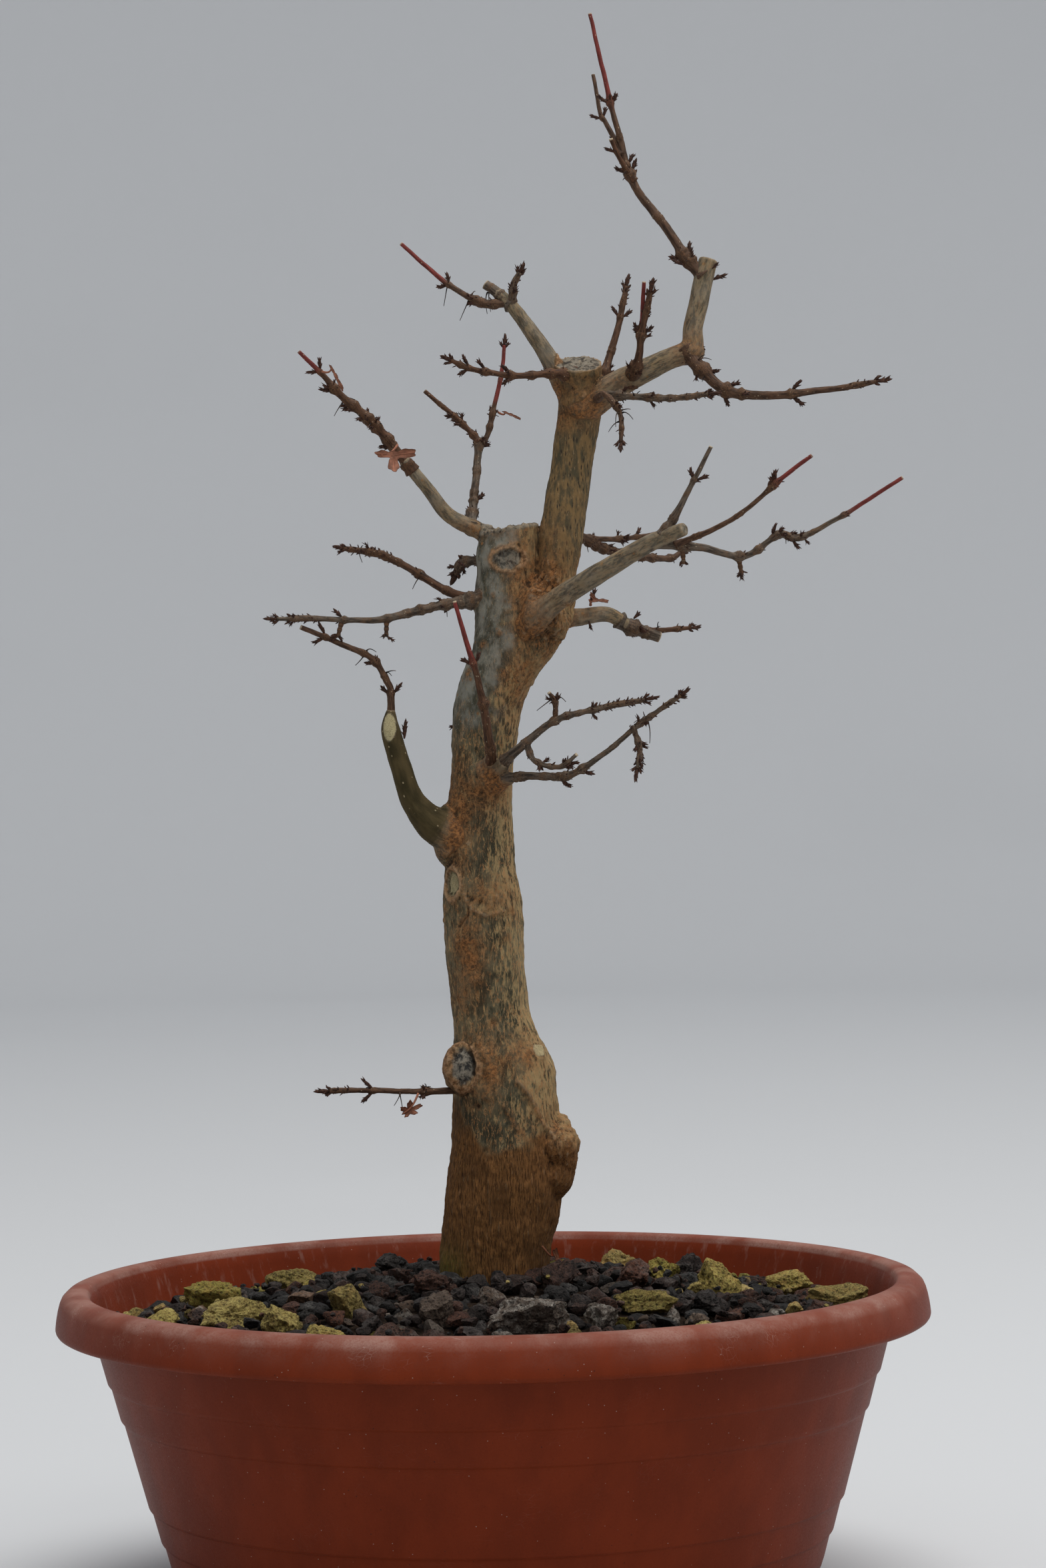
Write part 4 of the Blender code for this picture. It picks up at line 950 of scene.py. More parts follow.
class MAPLE_OT_grit(bpy.types.Operator):
    """Fill the bowl with grains of lava, pumice and crusted stone over fine soil"""

    bl_idname = "maple.grit"
    bl_label = "Grit"

    def execute(self, context):
        settings = context.scene.maple_grit
        rng = random.Random(settings.seed)
        self.lay_soil()
        shapes = {}
        for kind, facets, bumps, pits in STONES:
            shapes[kind] = {level: [chipped(ball(level)[0], rng, facets, bumps, pits) for _ in range(count)]
                            for level, count in ((2, 12), (3, 9))}
        faces = {level: ball(level)[1] for level in (2, 3)}
        taken = []
        for name in loose_stones():
            low, high = np.array(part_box(name)) / MM
            taken.append(((low[0] + high[0]) / 2, (low[1] + high[1]) / 2, (high - low)[:2].mean() * 0.42))
        top = settings.largest / MM
        upper = spread_grains(rng, taken, [(top * low, top * high, tries) for low, high, tries in UPPER_GRAINS])
        lower = spread_grains(rng, (), ((top * 0.65, top * 0.9, 4500),))
        lots = {}
        for layer, places in ((0, upper), (1, lower)):
            for x, y, size in places:
                kind, pick = self.kind_at(rng, x, y, size, top)
                level = 3 if layer == 0 and size > top * 0.55 and y < 30 else 2
                shape = shapes[kind][level][rng.randrange(len(shapes[kind][level]))] @ any_turn(rng).T
                shape = shape * (size, size * rng.uniform(0.72, 0.95), size * rng.uniform(0.55, 0.85))
                tilt = Matrix.Rotation(rng.uniform(0, math.tau), 3, "Z") @ Matrix.Rotation(rng.gauss(0, 0.35), 3, "X")
                shape = shape @ np.array(tilt).T
                lift = 1.6 - shape[:, 2].max() + rng.uniform(-1.6, 1.2) - LOWER_GRAINS * layer
                if size < top * 0.3:
                    lift += 0.8
                middle = (x, y, float(bed_height(math.hypot(x, y))) + lift)
                part = "front" if y < -20 else "back"
                lot = lots.setdefault((kind, part), Lot("chance"))
                lot.add(shape + middle, (pick, rng.random(), rng.random()), three=faces[level])
        finishes = grit_finishes(settings)
        for (kind, part), lot in sorted(lots.items()):
            piece = f"{kind}_grit_{part}"
            show(piece, lot.mesh(piece, 24), finishes[kind], ["grit_bed"])
        return {"FINISHED"}

    @staticmethod
    def kind_at(rng, x, y, size, top):
        """Which stone a grain is, and where it lies between its kind's two colours."""
        pumice = 0.16 if x < -38 and y < 35 else 0.14 if x > 62 else 0.025
        crusted = 0.16 if abs(x + 5) < 45 and y < -45 else 0.04
        if size < top * 0.3:
            pumice, crusted = pumice * 0.8 + 0.01, crusted * 0.6
        chance = rng.random()
        if chance < pumice:
            return "pumice", rng.random()
        if chance < pumice + crusted:
            return "crusted", rng.random()
        return "lava", rng.random() ** 2.6

    @staticmethod
    def lay_soil():
        """Fine dark soil that shows in the gaps: a closed disc, rough on top."""
        rings, sides, depth, below = 70, 160, 30.0, 4.4
        radius = np.linspace(0, BED_REACH - 0.6, rings + 1)[1:]
        points = revolved(radius, radius, sides).reshape(-1, 3)
        points[:, 2] = bed_height(np.hypot(points[:, 0], points[:, 1])) - below
        points[:, 2] += 0.9 * rough(points, 0.25, 3)
        under = points[-sides:] * (0.93, 0.93, 1) - (0, 0, depth)
        lot = Lot()
        lot.stack(np.concatenate([points, under]).reshape(rings + 1, sides, 3),
                  [(0, 0, BED_TOP - below), (0, 0, under[:, 2].mean())], turned=True)
        show("soil", lot.mesh("soil"), soil_finish(), ["grit_bed"])


class MAPLE_OT_stones(bpy.types.Operator):
    """Dress the single stones that lie on the grit"""

    bl_idname = "maple.stones"
    bl_label = "Stones"

    def execute(self, context):
        settings = context.scene.maple_grit
        finishes = grit_finishes(settings)
        rng = random.Random(settings.seed + 1)
        round_points, faces = ball(5)
        for name in loose_stones():
            kind = name.split("_")[0]
            solid = arrays_of(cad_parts[name].data)[0]
            low, high = solid.min(0), solid.max(0)
            _, _, axes = np.linalg.svd(solid - solid.mean(0), full_matrices=False)
            half = np.ptp((solid - solid.mean(0)) @ axes.T, axis=0) / 2
            shape = chipped(round_points, rng, {"lava": 13, "pumice": 10, "crusted": 12}[kind], 0.10, 26) * half
            shape = shape + 0.30 * unit(shape) * rough(shape, 0.75, rng.uniform(0, 50), 4)[:, None]
            shape = shape @ axes
            shape = (shape - shape.min(0)) / np.ptp(shape, axis=0) * (high - low) + low
            lot = Lot("chance")
            pick = rng.random() ** (2.4 if kind == "lava" else 1)
            lot.add(shape, (pick, rng.uniform(0.35, 0.95), rng.uniform(0.3, 1)), three=faces)
            piece = name.replace("_stone", "_lump")
            show(piece, lot.mesh(piece, 20), finishes[kind], [name])
        return {"FINISHED"}


# ---- the trunk ---------------------------------------------------------------------------------------
RUST = (        # (x, y, height), (half sizes), strength
    ((21, -8, 230), (9, 11, 20), 1.2), ((-9, -6, 158), (5, 9, 17), 1.0), ((-6, -12, 111), (5, 7, 12), 0.95),
    ((14, -9, 245), (4, 8, 12), 0.9), ((2, -12, 168), (11, 8, 6), 0.9), ((24, -4, 47), (10, 12, 12), 0.85),
    ((-8, -13, 74), (9, 8, 11), 0.6), ((1, -13, 73), (4, 8, 9), 1.1), ((16, -9, 205), (8, 9, 15), 0.7),
    ((36, 0, 238), (7, 9, 9), 0.7), ((8, 0, 258), (14, 14, 3), 0.9), ((-8, -8, 99), (4, 7, 6), 0.7),
    ((13, -14, 78), (9, 8, 6), 0.75), ((36, 0, 303), (10, 9, 9), 0.75), ((0, -9, 132), (8, 8, 6), 0.7),
    ((30, -4, 296), (8, 8, 5), 0.8), ((-1, 10, 60), (14, 10, 12), 0.5), ((4, 10, 228), (12, 9, 12), 0.6),
    ((74, -4, 317), (6, 6, 6), 0.8), ((50, -2, 307), (5, 5, 5), 0.6),
)
SHADOWS = (     # painted shade: dark patches painted on the bark
    ((-10, -12, 60), (7, 8, 7), 0.8), ((16, -14, 54), (5, 6, 5), 0.4), ((4, -13, 120), (6, 5, 4), 0.7),
    ((3, -12, 184), (7, 6, 5), 0.35), ((20, -10, 218), (6, 6, 6), 0.7), ((8, -16, 60), (5, 6, 10), 0.9),
    ((-14, -4, 145), (4, 6, 5), 0.7), ((30, -6, 296), (6, 6, 4), 0.4), ((7, -13, 98), (6, 6, 16), 0.85),
    ((2, -11, 150), (5, 6, 12), 0.45), ((2, -10, 213), (4, 6, 8), 0.4), ((8, -9, 225), (3, 6, 10), 0.4),
    ((25, -7, 222), (3, 6, 5), 0.7), ((-24, -8, 300), (9, 6, 8), 0.5), ((-12, -12, 82), (3, 5, 4), 0.5),
)
SUNNY = (       # painted light: pale, tan parts of the bark, painted as lit
    ((19, -10, 70), (6, 8, 14), 0.7), ((27, -4, 53), (8, 10, 10), 0.8), ((16, -8, 95), (7, 9, 14), 0.4),
    ((-13, -8, 95), (4, 8, 22), 0.4), ((-14, -8, 60), (6, 9, 10), 0.5), ((16, -8, 130), (5, 9, 30), 0.4),
    ((0, -12, 131), (7, 8, 5), 0.7), ((24, -8, 214), (6, 9, 16), 0.5),
)
COARSE = (
    ((24, -8, 230), (9, 11, 15), 1.0), ((24, -4, 47), (9, 11, 10), 0.85), ((-9, -11, 74), (8, 8, 11), 0.5),
    ((8, 0, 258), (13, 13, 3), 0.8), ((-10, -5, 155), (5, 8, 13), 0.5), ((3, -9, 172), (8, 7, 6), 0.5),
    ((-1, -11, 130), (8, 6, 5), 0.7), ((36, 0, 303), (9, 8, 9), 0.5), ((6, 9, 230), (12, 8, 12), 0.6),
)


# Heights between which the bark changes, going up
SLATE_FROM = (184, 198)
SHAFT_FROM = (238, 246)
STUB_CUT = (256.6, 257.4)
LEADER_CUT = (304, 307)
FIBRE_TOP = 47                                  # the golden fibre ends here, and higher on the left
SLATE_EDGE = ((185, 200, 215, 235, 258), (6, 6, 9, 11, 15))     # heights, and how far right the slate reaches
STUB_MIDDLE = 10.7
LEADER_CUT_FACES = (0, -0.39, 0.92)             # the direction that the leader's cut looks in
FAR = 99.0                                      # stands for out of reach, in shares or millimetres


def patch_at(points, patches):
    """How strongly a point lies in the nearest of the soft patches, 0 to 1."""
    strongest = np.zeros(len(points))
    for middle, half, strength in patches:
        away = (points - np.array(middle, float)) / np.array(half, float)
        strongest = np.maximum(strongest, strength * np.exp(-(away ** 2).sum(1) * 0.9))
    return strongest


def loft(lot, outline, seed, tilt):
    """A closed trunk through an outline; tilt is the slope of its top across and back."""
    rows = np.array(outline, float)
    height = np.append(np.arange(rows[0, 0], rows[-1, 0], 1.0), rows[-1, 0])
    left, right, back = (np.interp(height, rows[:, 0], rows[:, i]) for i in (1, 2, 3))
    soft = np.ones(7) / 7
    left, right, back = (np.convolve(np.pad(v, 3, "edge"), soft, "valid") for v in (left, right, back))
    sides = 64
    _, cos, sin = circle(sides)
    middle, half = (left + right) / 2, (right - left) / 2
    way = revolved(np.full(len(height), 1.3), height / 22, sides).reshape(-1, 3)
    uneven = (1 + 0.035 * rough(way, 1.0, seed, 2)).reshape(len(height), sides)
    x = middle[:, None] + half[:, None] * cos * uneven
    y = back[:, None] + half[:, None] * 0.97 * sin * uneven
    lean = fade(height, height[-1] - 7, height[-1])[:, None]
    z = height[:, None] + lean * (tilt[0] * (x - middle[:, None]) + tilt[1] * (y - back[:, None]))
    lot.stack(np.stack([x, y, z + LIP_TOP], 2), [(middle[i], back[i], height[i] + LIP_TOP) for i in (0, -1)])
    return np.stack([middle, back, height, half], 1)


def one_skin(lot, size, ease):
    """The gathered closed shapes fused into one skin of even facets, eased where they meet."""
    holder = bpy.data.objects.new("unfused", lot.mesh("unfused"))
    bpy.context.scene.collection.objects.link(holder)
    fuse = holder.modifiers.new("fuse", "REMESH")
    fuse.mode = "VOXEL"
    fuse.voxel_size = size
    soften = holder.modifiers.new("ease", "SMOOTH")
    soften.factor = 0.5
    soften.iterations = ease
    bpy.context.view_layer.update()
    mesh = bpy.data.meshes.new_from_object(holder.evaluated_get(bpy.context.evaluated_depsgraph_get()))
    bpy.data.objects.remove(holder, do_unlink=True)
    mesh.shade_smooth()
    return mesh


class MAPLE_OT_trunk(bpy.types.Operator):
    """Grow the trunk, the stub, the leader and the thick limbs in one skin, with their scars"""

    bl_idname = "maple.trunk"
    bl_label = "Trunk"

    def execute(self, context):
        settings = context.scene.maple_tree
        lot = Lot()
        axes = [loft(lot, TRUNK_OUTLINE, 1, (STUB_TOP_TILT, 0)), loft(lot, LEADER_OUTLINE, 2, (0, LEADER_TOP_TILT))]
        points, faces = ball(3)
        for (x, y, height), half in LUMPS:
            lot.add(points * half + (x, y, height + LIP_TOP), (), three=faces)
        for stations in LIMBS.values():
            path = smooth_path(stations, 1.0)
            axes.append(path)
            lot.tube(path[:, :3] + (0, 0, LIP_TOP), path[:, 3], 24, ())
        fine = 1.0
        mesh = one_skin(lot, settings.skin * fine, 6)
        points, normals, _ = arrays_of(mesh)
        points[:, 2] -= LIP_TOP
        points, marks = self.carve(points, normals, axes)
        points[:, 2] += LIP_TOP
        mesh.vertices.foreach_set("co", (points * MM).astype(np.float32).ravel())
        mesh.update()
        for layer, values in marks.items():
            write_marks(mesh, layer, values)
        show("trunk", mesh, bark_finish(settings), ["tree"])
        return {"FINISHED"}

    def carve(self, points, normals, axes):
        """Gives the skin its relief; also returns the layers of marks that its bark is coloured by."""
        x, y, h = points.T
        count = len(points)
        owner, along, offset, width, past = self.nearest_axis(points, axes)
        on_limb = owner > 1
        branch = owner == 2
        cloud = rough(points, 0.13, 1, 3)
        mottle = rough(points, 0.35, 2, 3)

        foot_line = FIBRE_TOP + 15 * fade(-x, 3, 12) + 5 * cloud
        foot = 1 - fade(h, foot_line - 2.5, foot_line + 2.5)
        slate_line = np.interp(h, *SLATE_EDGE)
        slate = 1 - fade(x + 5 * cloud + 1.5 * mottle, slate_line - 2.5, slate_line + 2.5)
        slate = fade(h + 8 * cloud, *SLATE_FROM) * slate
        slate = np.where(on_limb, 0.72 + 0.3 * cloud, 0.9 * slate).clip(0, 1)
        leader = np.where(owner == 1, fade(h, *SHAFT_FROM), 0)
        slate *= 1 - leader
        base_ring = np.where(on_limb, 1 - fade(along, 5, 10), 0)
        rust = np.clip(patch_at(points, RUST) * (1 + 0.7 * mottle) + 0.5 * base_ring, 0, 1)
        coarse = np.clip(patch_at(points, COARSE) * (1 + 0.5 * mottle), 0, 1)
        olive = np.where(branch, fade(along, 7, 11), 0)
        rust *= 1 - olive
        moss = patch_at(points, (((-15, -6, 3), (7, 14, 8), 1.0), ((-6, 12, 2), (10, 8, 6), 0.7)))
        # painted light: trunk bark facing right, towards the key light, is marked tan and paler; the limbs are tan
        # all over, and the SUNNY patches add to it
        tan_and_lit_side = np.where(on_limb, 0.9, fade(normals[:, 0] + 0.35 * cloud + 0.1 * mottle, -0.10, 0.50))
        tan_and_lit_side = np.clip(tan_and_lit_side + patch_at(points, SUNNY), 0, 1.5)
        shadow = np.clip(patch_at(points, SHADOWS) * (1 + mottle), 0, 1)
        cut, callus, fresh = np.zeros((3, count))

        slim = np.clip(width / 11, 0.22, 1)
        rise = 0.45 * cloud * slim + 0.16 * mottle * slim
        rise += 0.30 * foot * rough(points, (0.75, 0.75, 0.10), 3, 3)
        rise += 0.14 * (1 - slate) * slim * rough(points, (0.9, 0.9, 0.14), 4, 2)
        ragged = rough(points, (0.42, 0.42, 0.30), 5, 4)
        rise += coarse * (0.9 * ragged - 0.9 * np.abs(rough(points, (0.55, 0.55, 0.30), 6, 3)) + 0.25)

        for (mx, mh), half_width, half_height, swell, hollow, greyed in HEALED_CUTS:
            away, across, up = self.around(points, normals, mx, mh)
            q = np.hypot(across / half_width, up / half_height) + 0.13 * mottle + 0.10 * ragged
            q = np.where(np.abs(away) < 8, q, FAR)
            rise += swell * np.exp(-((q - 1.24) / 0.22) ** 2)
            inside = 1 - fade(q, 0.90, 1.02)
            rise -= inside * (hollow + 0.35 * ragged)
            cut = np.maximum(cut, inside * max(greyed, 0.75))
            fresh = np.maximum(fresh, inside * (greyed < 0.2))
            callus = np.maximum(callus, np.exp(-((q - 1.24) / 0.20) ** 2) * 0.85 if hollow > 0 else inside * 0.8)
            # painted shade: a dark line along the inner edge of each hollow cut
            shadow = np.maximum(shadow, np.exp(-((q - 1.0) / 0.06) ** 2) * 0.8 * (hollow > 0))
        for (mx, mh), radius, swell in WARTS:
            away, across, up = self.around(points, normals, mx, mh)
            q = np.where(np.abs(away) < 6, np.hypot(across, up) / radius, FAR)
            rise += swell * np.exp(-q ** 2) - abs(swell) * 0.5 * np.exp(-(q / 0.35) ** 2)
            rust = np.maximum(rust, 0.75 * np.exp(-(q / 0.9) ** 2))
        for line, ridge_width, swell in RIDGES:
            front = np.where(y < -2.0, 0.0, 40.0)
            near = np.full(count, FAR)
            for (ax, ah), (bx, bh) in zip(line, line[1:]):
                t = np.clip(((x - ax) * (bx - ax) + (h - ah) * (bh - ah)) / ((bx - ax) ** 2 + (bh - ah) ** 2), 0, 1)
                near = np.minimum(near, np.hypot(x - ax - t * (bx - ax), h - ah - t * (bh - ah)))
            q = (near + front) / ridge_width
            rise += swell * np.exp(-q ** 2)
            rust = np.maximum(rust, 0.7 * np.exp(-(q / 1.1) ** 2))

        # saw cuts: the stub's and the leader's tops, and the ends of the cut limbs
        stub_top = (owner == 0) * fade(h - STUB_TOP_TILT * (x - STUB_MIDDLE), *STUB_CUT)
        leader_face = normals @ np.array(LEADER_CUT_FACES)
        leader_top = (owner == 1) * fade(leader_face, 0.80, 0.92) * fade(h, *LEADER_CUT)
        ends = np.isin(owner, (2, 5, 6)) * fade(past, -0.5, -0.1)
        away, across, up = self.around(points, normals, *LIMB_CUT[0])
        oval = 1 - fade(np.hypot(across / LIMB_CUT[1], up / LIMB_CUT[2]) + 0.08 * mottle, 0.92, 1.02)
        oval = branch * oval * (np.abs(away) < 3)
        fresh = np.maximum(fresh, oval)
        cut = np.maximum.reduce([cut, 0.75 * stub_top, 0.85 * leader_top, 0.7 * ends, oval])
        olive = olive * (1 - oval)
        rise += (stub_top + leader_top) * 0.5 * ragged
        rim = (owner == 1) * np.exp(-((leader_face - 0.72) / 0.20) ** 2) * fade(h, 303, 307)
        rise += 0.5 * rim
        callus = np.maximum(callus, 0.8 * rim)
        for values in (foot, slate, rust, olive, moss):
            values *= 1 - np.clip(cut + 0.7 * callus, 0, 1)

        grain = np.where(on_limb[:, None], offset, points)
        marks = {"zones": (foot, slate, rust), "wounds": (cut, callus, moss), "limbs": (olive, leader, coarse),
                 "tones": (tan_and_lit_side, fresh, shadow)}
        marks = {layer: np.stack(values, 1) for layer, values in marks.items()}
        marks["grain"] = grain
        return points + normals * rise[:, None], marks

    @staticmethod
    def around(points, normals, x, height):
        """Distances of all points out of, across and up the skin from a place on its front."""
        facing = np.where(normals[:, 1] < -0.15, 0, 1e6)
        centre = np.argmin((points[:, 0] - x) ** 2 + (points[:, 2] - height) ** 2 + facing)
        away = points - points[centre]
        close = np.linalg.norm(away, axis=1) < 3.5
        out = unit(normals[close].mean(0))
        across = unit(np.cross(out, (0, 0, 1.0)))
        return away @ out, away @ across, away @ np.cross(across, out)

    @staticmethod
    def nearest_axis(points, axes):
        """For every point: its axis, how far along it, its grain, the limb's radius, and how far past the end."""
        knots, owners, arcs, ways = [], [], [], []
        for i, axis in enumerate(axes):
            knots.append(axis)
            owners.append(np.full(len(axis), i))
            arcs.append(arc_lengths(axis[:, :3]))
            ways.append(np.stack(frames_along(axis[:, :3]), 1))
        knots, owners, arcs, ways = (np.concatenate(v) for v in (knots, owners, arcs, ways))
        chosen = np.empty(len(points), int)
        for start in range(0, len(points), 20000):
            part = points[start:start + 20000]
            square = (part ** 2).sum(1)[:, None] + (knots[:, :3] ** 2).sum(1) - 2 * part @ knots[:, :3].T
            chosen[start:start + 20000] = np.argmin(np.sqrt(np.maximum(square, 0)) - knots[:, 3], axis=1)
        away = points - knots[chosen, :3]
        frames = ways[chosen]
        local = np.einsum("ij,ikj->ik", away, frames)
        grain = np.stack([local[:, 1], local[:, 2], arcs[chosen] + local[:, 0]], 1)
        last = np.append(np.flatnonzero(np.diff(owners)), len(owners) - 1)[owners[chosen]]
        past = ((points - knots[last, :3]) * ways[last][:, 0]).sum(1)
        return owners[chosen], arcs[chosen], grain, knots[chosen, 3], past


# ---- the twigs ---------------------------------------------------------------------------------------
WOOD_MARKS = ("red", "ringed", "cut", "scale", "stalk", "brown")
RING_STEPS = (-1.1, -0.4, 0.3, 1.0)             # where a ring's ridges stand from its middle


def wood_marks(count, place, **given):
    """Rows of the marks that the twigs are coloured by, ending with the grain's place."""
    marks = np.zeros((count, len(WOOD_MARKS) + 3))
    for name, value in given.items():
        marks[:, WOOD_MARKS.index(name)] = value
    marks[:, len(WOOD_MARKS):] = place
    return marks


class MAPLE_OT_twigs(bpy.types.Operator):
    """Grow the twigs with their nodes, rings, buds and dry stalks"""

    bl_idname = "maple.twigs"
    bl_label = "Twigs"

    def execute(self, context):
        settings = context.scene.maple_tree
        self.rng = random.Random(settings.seed)
        self.lot = Lot("shoot", "bits", "grain")
        for twig in TWIGS.values():
            self.grow(twig)
        for foot, tip, width in LIMB_BUDS:
            base, way = above_foot([foot])[0], np.subtract(tip, foot)
            self.bud(base, way, np.linalg.norm(way), width, 0)
        show("twigs", self.lot.mesh("twigs"), twig_finish(settings), ["tree"])
        return {"FINISHED"}

    def grow(self, twig):
        rng = self.rng
        path = smooth_path(above_foot(twig.path), 0.5)
        radii = path[:, 3] * 0.92
        path = path[:, :3]
        arc = arc_lengths(path)
        seed = rng.uniform(0, 50)
        for axis in range(3):
            wander = rough(np.stack([arc, arc * 0, arc * 0], 1), 0.09, seed + 7 * axis, 2)
            path[:, axis] += 0.30 * fade(arc, 2, 10) * wander
        nodes = [(float(place), kind) for place, kind in map(str.split, twig.growth.split(", "))]
        swell, ringed = 0.55 * np.exp(-(arc / 1.6) ** 2), np.zeros(len(arc))
        for place, kind in nodes:
            bulge, spread = SWELLS[kind]
            near = np.exp(-((arc - place) / spread) ** 2)
            swell += bulge * near
            ringed = np.maximum(ringed, near)
            for step in RING_STEPS if kind == "ring" else ():
                swell += 0.15 * np.exp(-((arc - place - step) / 0.25) ** 2)
        sides = 12
        _, cos, sin = circle(sides)
        way = revolved(np.ones(len(arc)), arc * 0.55, sides).reshape(-1, 3)
        knobs = rough(way, 1.0, seed, 3).reshape(len(arc), sides)
        shape = (radii * (1 + swell))[:, None] * (1 + (0.06 + 0.16 * ringed[:, None]) * knobs)
        red = fade(arc / arc[-1], twig.red - 0.05, twig.red + 0.05)
        cut = np.zeros(len(arc))
        cut[-1] = twig.end
        brown = rng.uniform(0.7, 1) if twig.bark is BROWN else twig.bark
        marks = wood_marks(len(arc), 0, red=red, ringed=ringed, cut=cut, brown=brown)
        marks = np.repeat(marks[:, None], sides, 1)
        marks[:, :, 6:] = np.stack([cos * shape, sin * shape, np.repeat(arc[:, None], sides, 1)], 2)
        self.lot.tube(path, shape, sides, marks)
        along = frames_along(path)[0]
        for place, kind in nodes:
            at = min(int(np.searchsorted(arc, place)), len(arc) - 1)
            self.sprout(kind, path[at], along[at], radii[at], red[at])
        if twig.end:
            return
        tip, onward, side = path[-1], along[-1], self.sideways(along[-1])
        self.bud(tip - onward * 0.4, onward, rng.uniform(4.2, 6.0), max(radii[-1] * 1.5, 0.95), 0.3)
        for way in (side, -side):
            self.bud(tip - onward * 0.9 + way * radii[-1] * 0.6, onward + way * 0.5, rng.uniform(2.2, 3.2),
                     max(radii[-1], 0.7), 0.2)

    @staticmethod
    def sideways(along):
        """The direction square to a twig that points up, or right, as seen from the front."""
        side = np.cross(along, (0, 1, 0))
        side = side / np.linalg.norm(side) if np.linalg.norm(side) > 0.1 else np.array((1.0, 0, 0))
        return side if side[2] + 0.3 * side[0] > 0 else -side

    def sprout(self, kind, place, along, radius, red):
        """Grows whatever a node of this kind carries."""
        rng = self.rng
        high = self.sideways(along)
        front = np.cross(high, along)
        pairs = {"pair": (high, -high), "cross": (front, -front), "up": (high,), "down": (-high,)}
        for out in pairs.get(kind, ()):
            self.bud(place + out * radius * 0.8, out * 0.75 + along * 0.85, rng.uniform(3.6, 5.4),
                     min(0.62 + radius * 0.26, 1.0), red)
        for _ in range({"knot": 4, "tuft": 9, "pair": 3, "up": 2, "down": 2, "scales": 20}.get(kind, 0)):
            out = spun(high, front, rng.uniform(0, math.tau))
            slip = along * rng.uniform(-1, 1) * (4.0 if kind == "scales" else 1.0)
            large = kind == "tuft" and rng.random() < 0.4
            size = rng.uniform(2.0, 3.4) if large else rng.uniform(0.9, 1.9)
            self.bud(place + slip + out * radius * 0.9, out * rng.uniform(0.4, 1.0) + along * rng.uniform(0.3, 1.1),
                     size, rng.uniform(0.5, 0.75) if large else rng.uniform(0.24, 0.42), 0)
        for _ in range({"stalk": 2, "tuft": 1}.get(kind, 0)):
            out = spun(high, front, rng.uniform(0, math.tau))
            self.stalk(place + out * radius, out, rng.uniform(2.0, 7.0) if kind == "stalk" else rng.uniform(1.2, 2.5))
        if kind == "spur":
            self.spur(place, along * 0.25 - high)

    def spur(self, base, way):
        """A short side shoot that ends in a tuft of scales."""
        t = np.linspace(0, 1, 12)
        way = unit(way)
        path = base + way * (t * 5.5)[:, None] + np.array((0, 0, -0.8)) * (t ** 2)[:, None]
        marks = wood_marks(12, path, ringed=0.7, brown=0.8)
        self.lot.tube(path, 0.95 - 0.25 * t + 0.12 * np.cos(t * 21), 9, marks)
        self.sprout("tuft", path[-2], way, 0.6, 0)

    def bud(self, base, way, length, width, red):
        """A pointed bud wrapped in scales whose tips stand off, or a single dry scale when it is short."""
        rng = self.rng
        way = unit(way)
        t = np.linspace(0, 1, 9)
        bend = np.cross(way, (0.3, 0.2, 0.9)) * rng.uniform(-0.12, 0.12)
        path = base + way * (t * length)[:, None] + bend * (length * t ** 2)[:, None]
        plump = np.sin(np.pi * np.clip(t * 0.86 + 0.10, 0, 1)) ** 0.8
        plump[-1] = 0.04
        scaled = 1 + 0.16 * (1 - (t * 3.0 % 1.0))
        look = {"red": 0.55 * red, "scale": 1 - 0.35 * red}
        marks = wood_marks(9, path * 1.7, brown=rng.random(), **look)
        self.lot.tube(path, plump * scaled * width * 0.62, 8, marks)
        if length < 2.4:
            return
        first = unit(np.cross(way, (0.2, 0.9, 0.3)))
        second = np.cross(way, first)
        short = np.linspace(0, 1, 5)
        for i in range(3 + int(length)):
            out = spun(first, second, i * 2.4 + rng.uniform(-0.4, 0.4))
            reach = rng.uniform(0.18, 0.72)
            start = base + way * length * reach + out * width * 0.38
            tip = way * rng.uniform(0.9, 1.7) + out * rng.uniform(0.15, 0.75)
            scale = start + tip * short[:, None] + out * (0.25 * short ** 2)[:, None]
            marks = wood_marks(5, scale * 1.7, brown=rng.random(), **look)
            self.lot.tube(scale, np.array((0.9, 1.0, 0.8, 0.5, 0.08)) * width * 0.30, 5, marks)

    def stalk(self, base, out, length):
        """The dry, curled rest of a leaf stalk."""
        rng = self.rng
        t = np.linspace(0, 1, 10)[:, None]
        side = np.cross(out, (rng.uniform(-1, 1), rng.uniform(-1, 1), rng.uniform(-1, 1)))
        path = base + out * (t * length * 0.75) + side * (length * 0.5 * t ** 2)
        path = path - np.array((0, 0, 1.0)) * (length * 0.45 * t ** 2)
        self.lot.tube(path, np.linspace(0.24, 0.11, 10) * (1 + 0.5 * (t[:, 0] < 0.12)), 5,
                      wood_marks(10, path, stalk=1))


